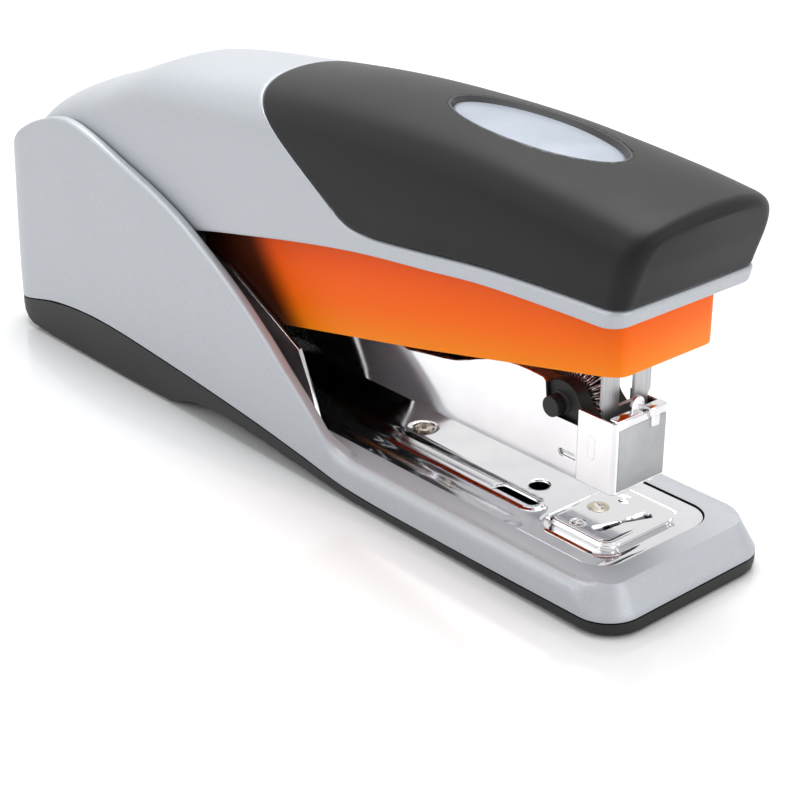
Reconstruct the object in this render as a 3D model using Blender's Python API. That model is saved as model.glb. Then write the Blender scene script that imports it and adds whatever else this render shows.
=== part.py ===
"""Full strip desk stapler: a base with side wings, a magazine and a gripped handle.

Metres, +Z up.  +X points to the nose, +Y to the stapler's left side, and the
origin is on the table under the middle of the base.
"""
import math

import bmesh
import bpy
from mathutils import Vector

MM = 0.001

# Base: overall plan, rim, walls and corner radii
BASE_LENGTH = 220.0 * MM
OUTLINE_LENGTH = 220.0 * MM
BASE_WIDTH = 48.6 * MM
FRONT_CORNER_RADIUS = 8.0 * MM
REAR_CORNER_RADIUS = 14.0 * MM
RIM_HEIGHT = 10.0 * MM
RIM_EDGE_RADIUS = 2.6 * MM
FRONT_SLOPE_LENGTH = 3.4 * MM
FRONT_BAND_HEIGHT = 4.9 * MM
WING_WALL = 2.6 * MM
WING_EDGE_RADIUS = 0.7 * MM
WING_SWEEP_LENGTH = 20.0 * MM
WING_GAP_LEAD = 4.0 * MM
REAR_WALL_HEIGHT = 30.0 * MM
REAR_NOTCH_WIDTH = 34.0 * MM
SHELL_FLOOR = 2.2 * MM
SHELL_HOLLOW_LENGTH = 125.0 * MM
SOLE_FLOOR = 2.0 * MM
SOLE_WALL = 3.0 * MM
SOLE_EDGE_RADIUS = 1.0 * MM
BOSS_WALL = 1.7 * MM
SEAM_GAP = 0.4 * MM
PAD_DIAMETER = 10.0 * MM
PAD_THICKNESS = 1.5 * MM
PAD_STANDOUT = 0.5 * MM
PAD_SIDE_SETBACK = 10.3 * MM
FRONT_PAD_SETBACK = 14.0 * MM
REAR_PAD_SETBACK = 26.0 * MM

# Base plate, anvil and their screws
PLATE_SIDE_SETBACK = 8.8 * MM
PLATE_THICKNESS = 1.0 * MM
PLATE_SINK = 0.5 * MM
PLATE_FRONT_SETBACK = 10.3 * MM
PLATE_CORNER_RADIUS = 6.0 * MM
PLATE_HOLE_DIAMETER = 4.6 * MM
PLATE_HOLE_SETBACK = 42.7 * MM
PLATE_SLOT_LENGTH = 11.5 * MM
PLATE_SLOT_WIDTH = 2.8 * MM
PLATE_SLOT_OFFSET = 6.7 * MM
ANVIL_FRONT_SETBACK = 13.4 * MM
ANVIL_LENGTH = 17.2 * MM
ANVIL_WIDTH = 22.0 * MM
ANVIL_THICKNESS = 1.4 * MM
ANVIL_CORNER_RADIUS = 3.0 * MM
ANVIL_GROOVE_LENGTH = 5.6 * MM
ANVIL_GROOVE_WIDTH = 1.8 * MM
ANVIL_GROOVE_DEPTH = 0.5 * MM
SCREW_HEAD_DIAMETER = 4.8 * MM
SCREW_HEAD_HEIGHT = 0.8 * MM
SCREW_SHANK_DIAMETER = 2.8 * MM
PLATE_SCREW_SETBACK = 79.3 * MM
REAR_SCREW_SETBACK = 44.0 * MM
ANVIL_SCREW_SETBACK = 25.9 * MM
ANVIL_SCREW_SEAT = 0.3 * MM

# Pivot at the rear
PIVOT_SETBACK = 25.0 * MM
PIVOT_HEIGHT = 40.0 * MM
PIN_DIAMETER = 4.8 * MM
PIN_HEAD_DIAMETER = 8.0 * MM
PIN_HEAD_THICKNESS = 1.2 * MM
EAR_RADIUS = 7.0 * MM
EAR_FOOT_SETIN = 5.0 * MM
CLIP_THICKNESS = 0.8 * MM
SPACER_WALL = 1.5 * MM

# Magazine: channel, staple track, nose, follower and springs
STAPLE_CROWN = 12.7 * MM
STAPLE_LEG = 6.0 * MM
CHANNEL_CLEARANCE = 0.1 * MM
CHANNEL_WALL = 0.6 * MM
CHANNEL_FLOOR_HEIGHT = 20.0 * MM
CHANNEL_FRONT_SETBACK = 22.7 * MM
WINDOW_SETBACK = 3.6 * MM
WINDOW_LENGTH = 4.8 * MM
WINDOW_SILL = 3.6 * MM
WINDOW_HEIGHT = 1.8 * MM
NOSE_FRONT_SETBACK = 15.6 * MM
NOSE_LENGTH = 10.0 * MM
NOSE_HEIGHT = 15.6 * MM
NOSE_WALL = 0.6 * MM
NOSE_FRONT_WALL = 0.9 * MM
TONGUE_WIDTH = 3.6 * MM
TONGUE_HEIGHT = 3.4 * MM
TONGUE_THICKNESS = 0.8 * MM
TRACK_WALL = 0.7 * MM
TRACK_LENGTH = 100.0 * MM
FOLLOWER_LENGTH = 20.0 * MM
FOLLOWER_WALL = 0.5 * MM
FOLLOWER_POST = 1.2 * MM
GUIDE_SETBACK = 32.2 * MM
GUIDE_HEIGHT = 34.3 * MM
GUIDE_BOSS_RADIUS = 2.2 * MM
COIL_BEND_RADIUS = 5.0 * MM
COIL_RADIUS = 1.7 * MM
COIL_WIRE = 0.45 * MM
COIL_PITCH = 1.8 * MM
COIL_POINTS = 8
COIL_LEAST_GAP = 0.4 * MM
ANCHOR_SETBACK = 91.0 * MM
ANCHOR_HEIGHT = 34.6 * MM
CROSS_PIN_RADIUS = 1.0 * MM
LEAF_WIDTH = 8.0 * MM
LEAF_THICKNESS = 0.6 * MM
LEAF_RIVET_SETBACK = 62.0 * MM
LEAF_TIP_SETBACK = 99.0 * MM
LEAF_FOOT = 8.0 * MM
LEAF_TIP_LENGTH = 10.0 * MM
LEAF_TIP_RISE = 0.6 * MM
LEAF_CURL = 6.0 * MM
LEAF_CURL_DROP = 1.2 * MM
RETURN_WIRE = 1.3 * MM
RETURN_RADIUS = 4.8 * MM
RETURN_PITCH = 2.0 * MM
RETURN_TURNS = 4
RETURN_POINTS = 12
RETURN_LEG = 26.0 * MM

# Handle: cover, grip, badge, skirt, arm and driver
HANDLE_SIDE_GAP = 1.5 * MM
HANDLE_FRONT_SETBACK = 6.4 * MM
HANDLE_REAR_SETBACK = 3.5 * MM
HANDLE_FRONT_RADIUS = 4.0 * MM
HANDLE_REAR_RADIUS = 12.0 * MM
HANDLE_LEAN = 0.26
HANDLE_LEAN_LENGTH = 30.0 * MM
HANDLE_CROWN_POWER = 2.0
HANDLE_SHOULDER_POWER = 7.0
LOAF_STEPS = 14
SHOULDER_HEIGHT = 26.0 * MM
COVER_WALL = 2.2 * MM
GRIP_THICKNESS = 2.1 * MM
GRIP_GAP = 0.3 * MM
BADGE_LENGTH = 46.0 * MM
BADGE_WIDTH = 15.0 * MM
BADGE_THICKNESS = 1.0 * MM
BADGE_SINK = 0.5 * MM
BADGE_SETBACK = 45.5 * MM
SKIRT_SIDE_GAP = 0.4 * MM
SKIRT_WALL = 2.0 * MM
SKIRT_FRONT_SETBACK = 10.2 * MM
SKIRT_CORNER_RADIUS = 3.0 * MM
SKIRT_LENGTH = 129.4 * MM
SKIRT_RISE = 0.8 * MM
SKIRT_EDGE_EASE = 1.0 * MM
FRONT_POST_SETBACK = 58.0 * MM
REAR_POST_SETBACK = 134.0 * MM
ARM_WIDTH = 22.0 * MM
ARM_WALL = 1.2 * MM
ARM_DEPTH = 7.0 * MM
ARM_RISE_REACH = 50.0 * MM
DRIVER_SETBACK = 20.8 * MM
DRIVER_THICKNESS = 0.8 * MM
DRIVER_STRIP_WIDTH = 4.8 * MM
DRIVER_STRIP_GAP = 4.4 * MM
DRIVER_SLOT_BACK = 1.5 * MM
DRIVER_SLOT_LENGTH = 4.0 * MM
BLADE_DEPTH = 3.6 * MM
BLADE_SHOULDER = 1.0 * MM
COVER_SCREW_BITE = 4.0 * MM
RIVET_RADIUS = 1.2 * MM

# Gaps between neighbours
FIT_GAP = 0.3 * MM

# Shaping: the step between two cut faces, the overrun of a cut past a body, a height over everything
# and the gap between two runs of stations
CUT_STEP = 0.02 * MM
CUT_OVERRUN = 1.0 * MM
CUT_TOP = 100.0 * MM
STATION_GAP = 7.0 * MM

# Sizes and places worked out from the driving dimensions
STRETCH = BASE_LENGTH / OUTLINE_LENGTH
PAD_SPACING = BASE_WIDTH - 2 * PAD_SIDE_SETBACK
PLATE_WIDTH = BASE_WIDTH - 2 * PLATE_SIDE_SETBACK
SKIRT_WIDTH = PLATE_WIDTH - 2 * (PLATE_THICKNESS + SKIRT_SIDE_GAP)
FRONT = BASE_LENGTH / 2.0
REAR = -BASE_LENGTH / 2.0
PIVOT = Vector((REAR + PIVOT_SETBACK, 0.0, PIVOT_HEIGHT))
PLATE_TOP = RIM_HEIGHT - PLATE_SINK
PLATE_BOTTOM = PLATE_TOP - PLATE_THICKNESS
CHANNEL_INNER = STAPLE_CROWN / 2.0 + CHANNEL_CLEARANCE
CHANNEL_OUTER = CHANNEL_INNER + CHANNEL_WALL
NOSE_INNER = CHANNEL_OUTER + FIT_GAP / 2.0
NOSE_OUTER = NOSE_INNER + NOSE_WALL
NOSE_BOTTOM = CHANNEL_FLOOR_HEIGHT + FIT_GAP
NOSE_TOP = NOSE_BOTTOM + NOSE_HEIGHT
CHANNEL_FRONT = FRONT - CHANNEL_FRONT_SETBACK
NOSE_FRONT = FRONT - NOSE_FRONT_SETBACK
TRACK_TOP = CHANNEL_FLOOR_HEIGHT + CHANNEL_WALL + FIT_GAP + STAPLE_LEG - TRACK_WALL
TRACK_OUTER = STAPLE_CROWN / 2.0 - TRACK_WALL
GUIDE = Vector((FRONT - GUIDE_SETBACK, 0.0, GUIDE_HEIGHT))
ANCHOR = Vector((FRONT - ANCHOR_SETBACK, 0.0, ANCHOR_HEIGHT))
HANDLE_HALF = BASE_WIDTH / 2.0 - WING_WALL - HANDLE_SIDE_GAP
DRIVER_X = FRONT - DRIVER_SETBACK
DRIVER_HALF = DRIVER_STRIP_GAP / 2.0 + DRIVER_STRIP_WIDTH
HOLE_GAP = PIN_DIAMETER / 2.0 + FIT_GAP
SCREW_HOLE = SCREW_SHANK_DIAMETER / 2.0 + FIT_GAP


def from_front(distance_mm, height_mm):
    """A point of a side outline, measured back from the front of the base."""
    return (FRONT - distance_mm * MM * STRETCH, height_mm * MM)


def from_rear(distance_mm, height_mm):
    """A point of a side outline, measured forward from the rear of the base."""
    return (REAR + distance_mm * MM * STRETCH, height_mm * MM)


# Side outlines, as points that a smooth line joins
SEAM_LINE = [from_rear(0.0, 5.5), from_rear(13.0, 8.0), from_rear(28.0, 11.2), from_rear(47.0, 12.4),
             from_rear(73.0, 10.9), from_front(113.0, 7.8), from_front(93.0, 5.3), from_front(77.0, 3.1),
             from_front(47.0, 2.7), from_front(0.0, 3.2)]
SHELL_REAR_LINE = [from_rear(0.0, 26.0), from_rear(1.2, 17.0), from_rear(3.0, 10.5), from_rear(5.4, 6.4)]
WING_LINE = [from_rear(0.0, 38.0), from_rear(2.5, 43.0), from_rear(8.0, 50.0), from_rear(16.0, 55.5),
             from_rear(24.0, 59.0), from_rear(34.0, 61.4), from_rear(44.0, 60.3), from_rear(58.0, 56.4),
             from_front(147.0, 51.8), from_front(135.0, 46.9), from_front(118.0, 37.8),
             from_front(106.0, 29.8), from_front(97.7, 23.3), from_front(90.3, 17.6),
             from_front(85.0, 13.0), from_front(82.0, 11.0), from_front(78.0, RIM_HEIGHT / MM)]
SOLE_BOTTOM_LINE = [from_rear(5.4, 4.6), from_rear(11.0, 1.8), from_rear(17.0, PAD_STANDOUT / MM),
                    from_rear(76.0, PAD_STANDOUT / MM), from_rear(82.0, 2.6), from_rear(90.0, 4.2),
                    from_front(110.0, 3.6), from_front(92.0, 2.0), from_front(76.0, PAD_STANDOUT / MM)]
CROWN_LINE = [from_rear(3.5, 40.0), from_rear(5.0, 46.0), from_rear(8.0, 51.5), from_rear(13.0, 57.3),
              from_rear(20.0, 63.0), from_rear(32.0, 68.3), from_rear(42.0, 71.7), from_rear(54.0, 76.4),
              from_rear(66.0, 80.3), from_front(124.0, 84.0), from_front(96.0, 86.8),
              from_front(72.0, 87.8), from_front(47.0, 87.4), from_front(22.0, 85.0),
              from_front(4.0, 82.1)]
LOW_EDGE_LINE = [from_rear(3.5, 31.0), from_rear(20.0, 30.5), from_rear(40.0, 33.0), from_rear(60.0, 38.0),
                 from_front(138.0, 45.0), from_front(113.0, 50.4), from_front(92.0, 54.4),
                 from_front(75.0, 57.0), from_front(56.0, 59.0), from_front(41.0, 60.6),
                 from_front(20.0, 61.5), from_front(0.0, 61.8)]
GRIP_LINE = [from_front(74.0, 60.5), from_front(61.0, 61.9), from_front(41.0, 63.9),
             from_front(21.0, 64.9), from_front(0.0, 65.4)]
GRIP_REAR_FOOT = from_front(83.5, 61.2)
GRIP_REAR_TOP = from_front(136.0, 95.0)
SKIRT_EDGE_LINE = [from_front(140.0, 27.0), from_front(118.0, 27.0), from_front(104.0, 30.0),
                   from_front(67.0, 37.2), from_front(35.0, 44.1), from_front(11.6, 49.3)]
CHANNEL_TOP_LINE = [from_rear(25.0, 46.0), from_rear(60.0, 41.0), from_front(112.0, 37.5),
                    from_front(98.0, 37.6), from_front(88.0, 37.2), from_front(79.0, 31.8),
                    from_front(70.0, 32.6), from_front(60.0, 34.4), from_front(51.0, 37.9),
                    from_front(43.0, 39.2), from_front(36.0, 39.0)]
CHANNEL_BELLY = [from_front(104.5, CHANNEL_FLOOR_HEIGHT / MM), from_front(108.0, 22.3),
                 from_front(114.0, 25.6), from_front(126.0, 28.6), from_rear(60.0, 32.0)]
EAR_LINE = [from_front(97.0, 10.0), from_front(100.0, 17.0), from_front(104.0, 25.0),
            from_front(130.0, 38.0), from_rear(50.0, 45.6)]


def smooth_line(points):
    """A function giving the height of the smooth line through points, held level past its ends."""
    xs = [point[0] for point in points]
    zs = [point[1] for point in points]
    last = len(points) - 1
    slopes = []
    for i in range(last + 1):
        before = max(i - 1, 0)
        after = min(i + 1, last)
        slopes.append((zs[after] - zs[before]) / (xs[after] - xs[before]))

    def height(x):
        if x <= xs[0]:
            return zs[0]
        if x >= xs[last]:
            return zs[last]
        i = max(k for k in range(last) if xs[k] <= x)
        span = xs[i + 1] - xs[i]
        t = (x - xs[i]) / span
        start = zs[i] * (1 + 2 * t) * (1 - t) ** 2 + slopes[i] * span * t * (1 - t) ** 2
        finish = zs[i + 1] * t * t * (3 - 2 * t) + slopes[i + 1] * span * t * t * (t - 1)
        return start + finish

    return height


seam = smooth_line(SEAM_LINE)
shell_rear = smooth_line(SHELL_REAR_LINE)
wing_top = smooth_line(WING_LINE)
sole_bottom = smooth_line(SOLE_BOTTOM_LINE)
crown = smooth_line(CROWN_LINE)
low_edge = smooth_line(LOW_EDGE_LINE)
grip_edge = smooth_line(GRIP_LINE)
skirt_edge = smooth_line(SKIRT_EDGE_LINE)
channel_top = smooth_line(CHANNEL_TOP_LINE)


def spread(start, end, count):
    """Evenly spaced values from start to end, both included."""
    return [start + (end - start) * i / count for i in range(count + 1)]


def round_in(start, radius, count):
    """Stations that close up towards start, where a plan corner of this radius ends."""
    return [start + radius * (1 - math.cos(math.pi / 2 * i / count)) for i in range(count)]


def rounded_half(x, half, front, rear, front_radius, rear_radius):
    """Half the width at x of a plan outline with rounded front and rear corners."""
    if x > front - front_radius:
        reach = min(x - front + front_radius, front_radius)
        return half - front_radius + math.sqrt(front_radius ** 2 - reach ** 2)
    if x < rear + rear_radius:
        reach = min(rear + rear_radius - x, rear_radius)
        return half - rear_radius + math.sqrt(rear_radius ** 2 - reach ** 2)
    return half


def base_half(x, inset=0.0):
    """Half the base's width at x, drawn in by inset all round."""
    return rounded_half(x, BASE_WIDTH / 2 - inset, FRONT - inset, REAR + inset,
                        FRONT_CORNER_RADIUS - inset, REAR_CORNER_RADIUS - inset)


def solid(name, bm):
    """An object in the scene from a closed bmesh."""
    bmesh.ops.recalc_face_normals(bm, faces=bm.faces)
    mesh = bpy.data.meshes.new(name)
    bm.to_mesh(mesh)
    bm.free()
    item = bpy.data.objects.new(name, mesh)
    bpy.context.scene.collection.objects.link(item)
    return item


def loft(name, rings):
    """A closed body through a row of rings of equally many points."""
    bm = bmesh.new()
    loops = []
    for ring in rings:
        verts = [bm.verts.new(point) for point in ring]
        loops.append([bm.edges.new(pair) for pair in zip(verts, verts[1:] + verts[:1])])
    for first, second in zip(loops, loops[1:]):
        bmesh.ops.bridge_loops(bm, edges=first + second)
    for edges in (loops[0], loops[-1]):
        bmesh.ops.contextual_create(bm, geom=edges)
    return solid(name, bm)


def extrude_outline(name, corners, direction):
    """A closed body from a flat outline of corners pushed along direction."""
    bm = bmesh.new()
    face = bm.faces.new([bm.verts.new(corner) for corner in corners])
    pushed = bmesh.ops.extrude_face_region(bm, geom=[face])["geom"]
    moved = [item for item in pushed if isinstance(item, bmesh.types.BMVert)]
    bmesh.ops.translate(bm, verts=moved, vec=direction)
    return solid(name, bm)


def side_plate(name, outline, y_from, y_to):
    """A body with a side outline of (x, z) points, from y_from to y_to."""
    corners = [(x, y_from, z) for x, z in outline]
    return extrude_outline(name, corners, (0.0, y_to - y_from, 0.0))


def flat_plate(name, outline, z_from, z_to):
    """A body with a plan outline of (x, y) points, from z_from to z_to."""
    corners = [(x, y, z_from) for x, y in outline]
    return extrude_outline(name, corners, (0.0, 0.0, z_to - z_from))


def block(name, low, high):
    """A rectangular body between two corners."""
    outline = [(low[0], low[1]), (high[0], low[1]), (high[0], high[1]), (low[0], high[1])]
    return flat_plate(name, outline, low[2], high[2])


def rounded_rectangle(x_from, x_to, half, radius, segments=5):
    """The plan outline of a rectangle with rounded corners."""
    outline = []
    centres = [(x_to - radius, half - radius, 0), (x_from + radius, half - radius, 1),
               (x_from + radius, radius - half, 2), (x_to - radius, radius - half, 3)]
    for centre_x, centre_y, quarter in centres:
        for i in range(segments + 1):
            angle = math.pi / 2 * (quarter + i / segments)
            outline.append((centre_x + radius * math.cos(angle), centre_y + radius * math.sin(angle)))
    return outline


def arc(centre, radius, start_degrees, end_degrees, count):
    """Points of an arc in a side view, as (x, z)."""
    angles = [math.radians(a) for a in spread(start_degrees, end_degrees, count)]
    return [(centre[0] + radius * math.cos(a), centre[1] + radius * math.sin(a)) for a in angles]


def turned(name, profile, centre, axis, segments=24):
    """A body turned about an axis through centre, from (radius, along) pairs from end to end."""
    bm = bmesh.new()
    verts = [bm.verts.new((radius, 0.0, along)) for radius, along in profile]
    edges = [bm.edges.new(pair) for pair in zip(verts, verts[1:])]
    bmesh.ops.spin(bm, geom=verts + edges, cent=(0, 0, 0), axis=(0, 0, 1), angle=math.tau,
                   steps=segments, use_merge=True, use_duplicate=False)
    bmesh.ops.remove_doubles(bm, verts=bm.verts, dist=0.001 * MM)
    turn = Vector((0, 0, 1)).rotation_difference(Vector(axis)).to_matrix()
    bmesh.ops.rotate(bm, verts=bm.verts, cent=(0, 0, 0), matrix=turn)
    bmesh.ops.translate(bm, verts=bm.verts, vec=centre)
    return solid(name, bm)


def rod(name, radius, centre, axis, along_from, along_to, segments=24):
    """A plain round rod about an axis through centre."""
    profile = [(0.0, along_from), (radius, along_from), (radius, along_to), (0.0, along_to)]
    return turned(name, profile, centre, axis, segments)


def combine(target, tool, operation="DIFFERENCE"):
    """Cut, join or intersect target with tool, and use the tool up."""
    modifier = target.modifiers.new("shape", "BOOLEAN")
    modifier.operation = operation
    modifier.solver = "EXACT"
    modifier.object = tool
    bpy.context.view_layer.update()
    shaped = target.evaluated_get(bpy.context.evaluated_depsgraph_get())
    mesh = bpy.data.meshes.new_from_object(shaped)
    target.modifiers.clear()
    target.data = mesh
    bpy.data.objects.remove(tool, do_unlink=True)
    return target


def cut(target, *tools):
    """Take each tool's shape out of target."""
    for tool in tools:
        combine(target, tool)
    return target


def join(target, *tools):
    """Fuse each tool's shape to target."""
    for tool in tools:
        combine(target, tool, "UNION")
    return target


def paint(name, colour, roughness, metallic):
    """A material with a plain colour, roughness and metallic value."""
    material = bpy.data.materials.new(name)
    material.use_nodes = True
    shader = material.node_tree.nodes["Principled BSDF"]
    shader.inputs["Base Color"].default_value = (*colour, 1.0)
    shader.inputs["Roughness"].default_value = roughness
    shader.inputs["Metallic"].default_value = metallic
    return material


def pivot_empty(name, place, parent=None):
    """An empty on a joint's axis that carries the pieces moving with it."""
    empty = bpy.data.objects.new(name, None)
    bpy.context.scene.collection.objects.link(empty)
    empty.parent = parent
    empty.location = place - parent.location if parent else place
    return empty


def fit(item, colour, carrier):
    """Finish a piece: its material, smooth shading and the empty that carries it."""
    if item.type == "MESH":
        item.data.shade_smooth()
        item.data.set_sharp_from_angle(angle=math.radians(32.0))
    item.data.materials.clear()
    item.data.materials.append(colour)
    item.parent = carrier
    bpy.context.view_layer.update()
    item.matrix_parent_inverse = carrier.matrix_world.inverted()
    return item


def shell_outer():
    """The base shell's outer form: the rim at the front, both wings and the rear."""
    wing_foot = WING_LINE[-1][0]
    sweep = wing_foot - WING_SWEEP_LENGTH
    stations = round_in(REAR, REAR_CORNER_RADIUS, 7)
    stations += spread(REAR + REAR_CORNER_RADIUS, sweep - STATION_GAP, 14)
    stations += spread(sweep, wing_foot, 8)
    stations += spread(wing_foot + STATION_GAP, FRONT - FRONT_CORNER_RADIUS, 4)
    stations += [2 * FRONT - FRONT_CORNER_RADIUS - x
                 for x in reversed(round_in(FRONT - FRONT_CORNER_RADIUS, FRONT_CORNER_RADIUS, 5))]
    slope_start = FRONT - FRONT_SLOPE_LENGTH
    stations = sorted(set(stations + [slope_start]))
    rings = []
    for x in stations:
        half = base_half(x)
        top = wing_top(x)
        if x > slope_start:
            top -= (RIM_HEIGHT - FRONT_BAND_HEIGHT) * (x - slope_start) / FRONT_SLOPE_LENGTH
        bottom = seam(x) + SEAM_GAP
        if x < SHELL_REAR_LINE[-1][0]:
            bottom = max(bottom, shell_rear(x) + SEAM_GAP)
        radius = RIM_EDGE_RADIUS if x > wing_foot - CUT_OVERRUN else WING_EDGE_RADIUS
        radius = min(radius, (top - bottom) * 0.45)
        ring = [(x, -half, bottom)]
        ring += [(x, y - half + radius, z) for y, z in arc((0, top - radius), radius, 180, 90, 4)]
        ring += [(x, half - radius + y, z) for y, z in arc((0, top - radius), radius, 90, 0, 4)]
        ring.append((x, half, bottom))
        rings.append(ring)
    return loft("base_shell", rings)


def screw_places():
    """Where the three screws of the base stand, with the height of the face under each head."""
    return {
        "plate_screw_front": (FRONT - PLATE_SCREW_SETBACK, PLATE_TOP),
        "plate_screw_rear": (REAR + REAR_SCREW_SETBACK, PLATE_TOP),
        "anvil_screw": (FRONT - ANVIL_SCREW_SETBACK, PLATE_TOP + FIT_GAP + ANVIL_SCREW_SEAT),
    }


def screw_hole(x):
    """A round cutter for a screw's shank."""
    return rod("hole", SCREW_HOLE, (x, 0, 0), (0, 0, 1), SOLE_FLOOR, RIM_HEIGHT * 2, 16)


def make_base_shell(colour, carrier):
    item = shell_outer()
    inner = [(x, base_half(x, WING_WALL)) for x in
             round_in(REAR + WING_WALL, REAR_CORNER_RADIUS - WING_WALL, 6)
             + [REAR + REAR_CORNER_RADIUS, WING_LINE[-1][0] + WING_GAP_LEAD]]
    inner += [(x, -half) for x, half in reversed(inner)]
    cavity = flat_plate("cavity", inner, RIM_HEIGHT + CUT_STEP, CUT_TOP)
    notch = block("notch", (REAR - WING_WALL, -REAR_NOTCH_WIDTH / 2, REAR_WALL_HEIGHT),
                  (REAR + PIVOT_SETBACK, REAR_NOTCH_WIDTH / 2, CUT_TOP))
    half = PLATE_WIDTH / 2 + FIT_GAP
    seat_outline = rounded_rectangle(REAR + 2 * WING_WALL, FRONT - PLATE_FRONT_SETBACK + FIT_GAP, half,
                                     PLATE_CORNER_RADIUS + FIT_GAP)
    seat = flat_plate("seat", seat_outline, PLATE_BOTTOM - FIT_GAP, CUT_TOP)
    floor = PLATE_BOTTOM - FIT_GAP - SHELL_FLOOR
    hollow_half = BASE_WIDTH / 2 - 2 * WING_WALL
    hollow = block("hollow", (FRONT - SHELL_HOLLOW_LENGTH, -hollow_half, -CUT_OVERRUN),
                   (FRONT - 3 * WING_WALL, hollow_half, floor))
    cut(item, cavity, notch, seat, hollow)
    for x, _ in screw_places().values():
        cut(item, screw_hole(x))
    return fit(item, colour, carrier)


def pad_places():
    """Centres of the four rubber pads, by name."""
    places = {}
    for end, x in (("front", FRONT - FRONT_PAD_SETBACK), ("rear", REAR + REAR_PAD_SETBACK)):
        for side, sign in (("left", 1), ("right", -1)):
            places[f"{end}_{side}"] = (x, sign * PAD_SPACING / 2)
    return places


def make_base_sole(colour, carrier):
    """The moulded sole, a tray whose rim follows the seam with the shell."""
    start = SHELL_REAR_LINE[-1][0]
    relief_rear = SOLE_BOTTOM_LINE[3][0]
    relief_front = SOLE_BOTTOM_LINE[-1][0]
    stations = round_in(start, REAR + REAR_CORNER_RADIUS - start, 5)
    stations += spread(REAR + REAR_CORNER_RADIUS, relief_rear, 7)
    stations += spread(relief_rear + STATION_GAP / 2, relief_front, 10)
    stations += spread(relief_front + STATION_GAP, FRONT - FRONT_CORNER_RADIUS, 3)
    stations += [2 * FRONT - FRONT_CORNER_RADIUS - x
                 for x in reversed(round_in(FRONT - FRONT_CORNER_RADIUS, FRONT_CORNER_RADIUS, 5))]
    rings = []
    for x in stations:
        half = base_half(x)
        low = sole_bottom(x)
        high = max(seam(x), low + 2 * SOLE_EDGE_RADIUS)
        ring = [(x, y - half + SOLE_EDGE_RADIUS, z)
                for y, z in arc((0, low + SOLE_EDGE_RADIUS), SOLE_EDGE_RADIUS, 270, 180, 3)]
        ring += [(x, -half, high), (x, half, high)]
        ring += [(x, half - SOLE_EDGE_RADIUS + y, z)
                 for y, z in arc((0, low + SOLE_EDGE_RADIUS), SOLE_EDGE_RADIUS, 0, -90, 3)]
        rings.append(ring)
    item = loft("base_sole", rings)
    half = BASE_WIDTH / 2 - SOLE_WALL
    rear_tray = rounded_rectangle(start + 2 * SOLE_WALL, relief_rear + 2 * SOLE_FLOOR, half, 2 * SOLE_WALL)
    cut(item, flat_plate("tray", rear_tray, PAD_STANDOUT + SOLE_FLOOR, CUT_TOP))
    bridge_floor = max(z for _, z in SOLE_BOTTOM_LINE) + SOLE_FLOOR
    bridge_front = SOLE_BOTTOM_LINE[-2][0] + SOLE_FLOOR
    cut(item, block("bridge", (relief_rear - SOLE_FLOOR, -half, bridge_floor), (bridge_front, half, CUT_TOP)))
    for x, _ in screw_places().values():
        top = min(max(seam(x), PLATE_BOTTOM - 2 * FIT_GAP - SHELL_FLOOR), PLATE_BOTTOM - FIT_GAP)
        foot = sole_bottom(x) + SOLE_FLOOR / 2
        boss_radius = SCREW_HOLE + BOSS_WALL
        join(item, rod("boss", boss_radius, (x, 0, 0), (0, 0, 1), foot, top, 16))
        hole_floor = foot + SOLE_FLOOR / 2
        cut(item, rod("hole", SCREW_HOLE, (x, 0, 0), (0, 0, 1), hole_floor, RIM_HEIGHT * 2, 16))
    pocket_top = PAD_THICKNESS + FIT_GAP
    for x, y in pad_places().values():
        cut(item, rod("pocket", PAD_DIAMETER / 2 + FIT_GAP, (x, y, 0), (0, 0, 1), -CUT_OVERRUN, pocket_top))
    return fit(item, colour, carrier)


def make_pads(colour, carrier):
    for name, (x, y) in pad_places().items():
        pad = rod(f"rubber_pad_{name}", PAD_DIAMETER / 2, (x, y, 0), (0, 0, 1), 0.0, PAD_THICKNESS)
        fit(pad, colour, carrier)


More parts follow.
